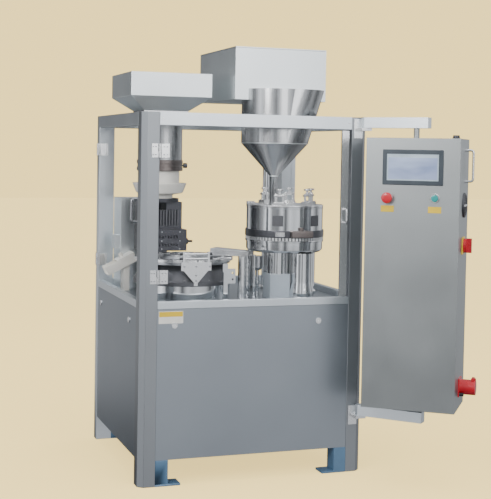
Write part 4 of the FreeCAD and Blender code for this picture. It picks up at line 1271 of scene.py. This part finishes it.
class FILLER_OT_stage(bpy.types.Operator):
    """Pale floor, soft studio light and the camera"""
    bl_idname = "filler.stage"
    bl_label = "Stage"

    def execute(self, context):
        self.floor()
        self.world(context)
        self.lights()
        self.camera(context)
        return {"FINISHED"}

    def floor(self):
        """Pale floor that takes soft shadows and stays out of the reflections."""
        clear()
        bpy.ops.mesh.primitive_plane_add(size=60.0, location=(0, 0, 0))
        plane = bpy.context.object
        plane.name = "studio_floor"
        plane.visible_glossy = False
        plane.visible_diffuse = False
        material, tree, bsdf = shader("studio_floor")
        soft = pattern(tree, 0.4, (1, 1, 1), 2.0)
        colour = tuple(colours().backdrop)
        tone = ramp(tree, soft, shade(colour, 0.70), shade(colour, 0.71))
        tree.links.new(tone, bsdf.inputs["Base Color"])
        tree.links.new(tone, bsdf.inputs["Emission Color"])
        bsdf.inputs["Emission Strength"].default_value = FLOOR_GLOW
        bsdf.inputs["Roughness"].default_value = 0.9
        bsdf.inputs["Specular IOR Level"].default_value = 0.0
        plane.data.materials.append(material)

    def world(self, context):
        """Even backdrop for the eye, tall light and dark cards for reflections."""
        world = bpy.data.worlds.new("studio")
        context.scene.world = world
        world.use_nodes = True
        tree = world.node_tree
        tree.nodes.clear()
        where = tree.nodes.new("ShaderNodeTexCoord")
        axes = tree.nodes.new("ShaderNodeSeparateXYZ")
        tree.links.new(where.outputs["Generated"], axes.inputs["Vector"])
        turn = tree.nodes.new("ShaderNodeMath")
        turn.operation = "ARCTAN2"
        tree.links.new(axes.outputs["Y"], turn.inputs[0])
        tree.links.new(axes.outputs["X"], turn.inputs[1])
        unit = tree.nodes.new("ShaderNodeMapRange")
        unit.inputs["From Min"].default_value = -math.pi
        unit.inputs["From Max"].default_value = math.pi
        tree.links.new(turn.outputs["Value"], unit.inputs["Value"])
        cards = self.levels(tree, unit.outputs["Result"], CARDS)
        rise = tree.nodes.new("ShaderNodeMapRange")
        rise.inputs["From Min"].default_value = -1.0
        tree.links.new(axes.outputs["Z"], rise.inputs["Value"])
        heights = self.levels(tree, rise.outputs["Result"], HEIGHTS)
        both = tree.nodes.new("ShaderNodeMath")
        both.operation = "MULTIPLY"
        tree.links.new(cards, both.inputs[0])
        tree.links.new(heights, both.inputs[1])
        shown = tree.nodes.new("ShaderNodeBackground")
        shown.inputs["Color"].default_value = (*colours().backdrop, 1)
        shown.inputs["Strength"].default_value = BACKDROP_GLOW
        studio = tree.nodes.new("ShaderNodeBackground")
        studio.inputs["Color"].default_value = (0.97, 1.0, 1.04, 1)
        tree.links.new(both.outputs["Value"], studio.inputs["Strength"])
        path = tree.nodes.new("ShaderNodeLightPath")
        blend = tree.nodes.new("ShaderNodeMixShader")
        output = tree.nodes.new("ShaderNodeOutputWorld")
        tree.links.new(path.outputs["Is Camera Ray"], blend.inputs["Fac"])
        tree.links.new(studio.outputs["Background"], blend.inputs[1])
        tree.links.new(shown.outputs["Background"], blend.inputs[2])
        tree.links.new(blend.outputs["Shader"], output.inputs["Surface"])

    def levels(self, tree, value, stops):
        """Light levels, up to 4, over a value from 0 to 1."""
        blend = tree.nodes.new("ShaderNodeValToRGB")
        elements = blend.color_ramp.elements
        for element, (place, level) in zip(elements, (stops[0], stops[-1])):
            element.position = place
            element.color = (level / 4, level / 4, level / 4, 1)
        for place, level in stops[1:-1]:
            elements.new(place).color = (level / 4, level / 4, level / 4, 1)
        tree.links.new(value, blend.inputs["Fac"])
        gain = tree.nodes.new("ShaderNodeMath")
        gain.operation = "MULTIPLY"
        gain.inputs[1].default_value = 4.0
        tree.links.new(blend.outputs["Color"], gain.inputs[0])
        return gain.outputs["Value"]

    def lights(self):
        for name, place, target, power, size in LAMPS:
            clear()
            bpy.ops.object.light_add(type="AREA", location=place)
            lamp = bpy.context.object
            lamp.name = name + "_light"
            lamp.visible_camera = False
            lamp.data.energy = power
            lamp.data.size = size
            aim = Vector(target) - Vector(place)
            lamp.rotation_euler = aim.to_track_quat("-Z", "Y").to_euler()

    def camera(self, context):
        data = bpy.data.cameras.new("camera")
        data.lens = CAMERA_LENS
        data.sensor_width = 36.0
        data.shift_y = CAMERA_SHIFT
        camera = bpy.data.objects.new("camera", data)
        context.scene.collection.objects.link(camera)
        yaw, pitch, roll = (math.radians(v) for v in (CAMERA_YAW, CAMERA_PITCH, CAMERA_ROLL))
        ahead = Vector((math.sin(yaw) * math.cos(pitch), math.cos(yaw) * math.cos(pitch), -math.sin(pitch)))
        right = Vector((math.cos(yaw), -math.sin(yaw), 0))
        up = right.cross(ahead)
        leaned_right = math.cos(roll) * right + math.sin(roll) * up
        leaned_up = -math.sin(roll) * right + math.cos(roll) * up
        turn = Matrix((leaned_right, leaned_up, -ahead)).transposed().to_4x4()
        camera.matrix_world = Matrix.Translation(CAMERA_AT) @ turn
        context.scene.camera = camera


# ---------------------------------------------------------------- panel and run

PIECES = (FILLER_OT_guard_frame, FILLER_OT_cabinet_panels, FILLER_OT_feet, FILLER_OT_locks,
          FILLER_OT_doors, FILLER_OT_capsule_feed, FILLER_OT_magazine, FILLER_OT_turret,
          FILLER_OT_stations, FILLER_OT_separator, FILLER_OT_dosing, FILLER_OT_tamping,
          FILLER_OT_powder_hopper, FILLER_OT_loading_box, FILLER_OT_drive, FILLER_OT_swing_arms,
          FILLER_OT_control_box, FILLER_OT_touch_screen, FILLER_OT_buttons, FILLER_OT_side_fittings,
          FILLER_OT_stage)


class FILLER_PT_sidebar(bpy.types.Panel):
    """Lists the machine's pieces and their settings"""
    bl_idname = "FILLER_PT_sidebar"
    bl_label = "Capsule filler"
    bl_space_type = "VIEW_3D"
    bl_region_type = "UI"
    bl_category = "Filler"

    def draw(self, context):
        column = self.layout.column()
        for group in (context.scene.filler_sizes, context.scene.filler_colours):
            for name in group.bl_rna.properties.keys():
                if name not in ("rna_type", "name"):
                    column.prop(group, name)
        for piece in PIECES:
            column.operator(piece.bl_idname)


CLASSES = (FillerSizes, FillerColours) + PIECES + (FILLER_PT_sidebar,)


def register():
    for cls in CLASSES:
        bpy.utils.register_class(cls)
    bpy.types.Scene.filler_sizes = bpy.props.PointerProperty(type=FillerSizes)
    bpy.types.Scene.filler_colours = bpy.props.PointerProperty(type=FillerColours)


def unregister():
    del bpy.types.Scene.filler_colours
    del bpy.types.Scene.filler_sizes
    for cls in reversed(CLASSES):
        bpy.utils.unregister_class(cls)


def main():
    register()
    for piece in PIECES:
        group, name = piece.bl_idname.split(".")
        getattr(getattr(bpy.ops, group), name)()


if __name__ == "__main__":
    main()
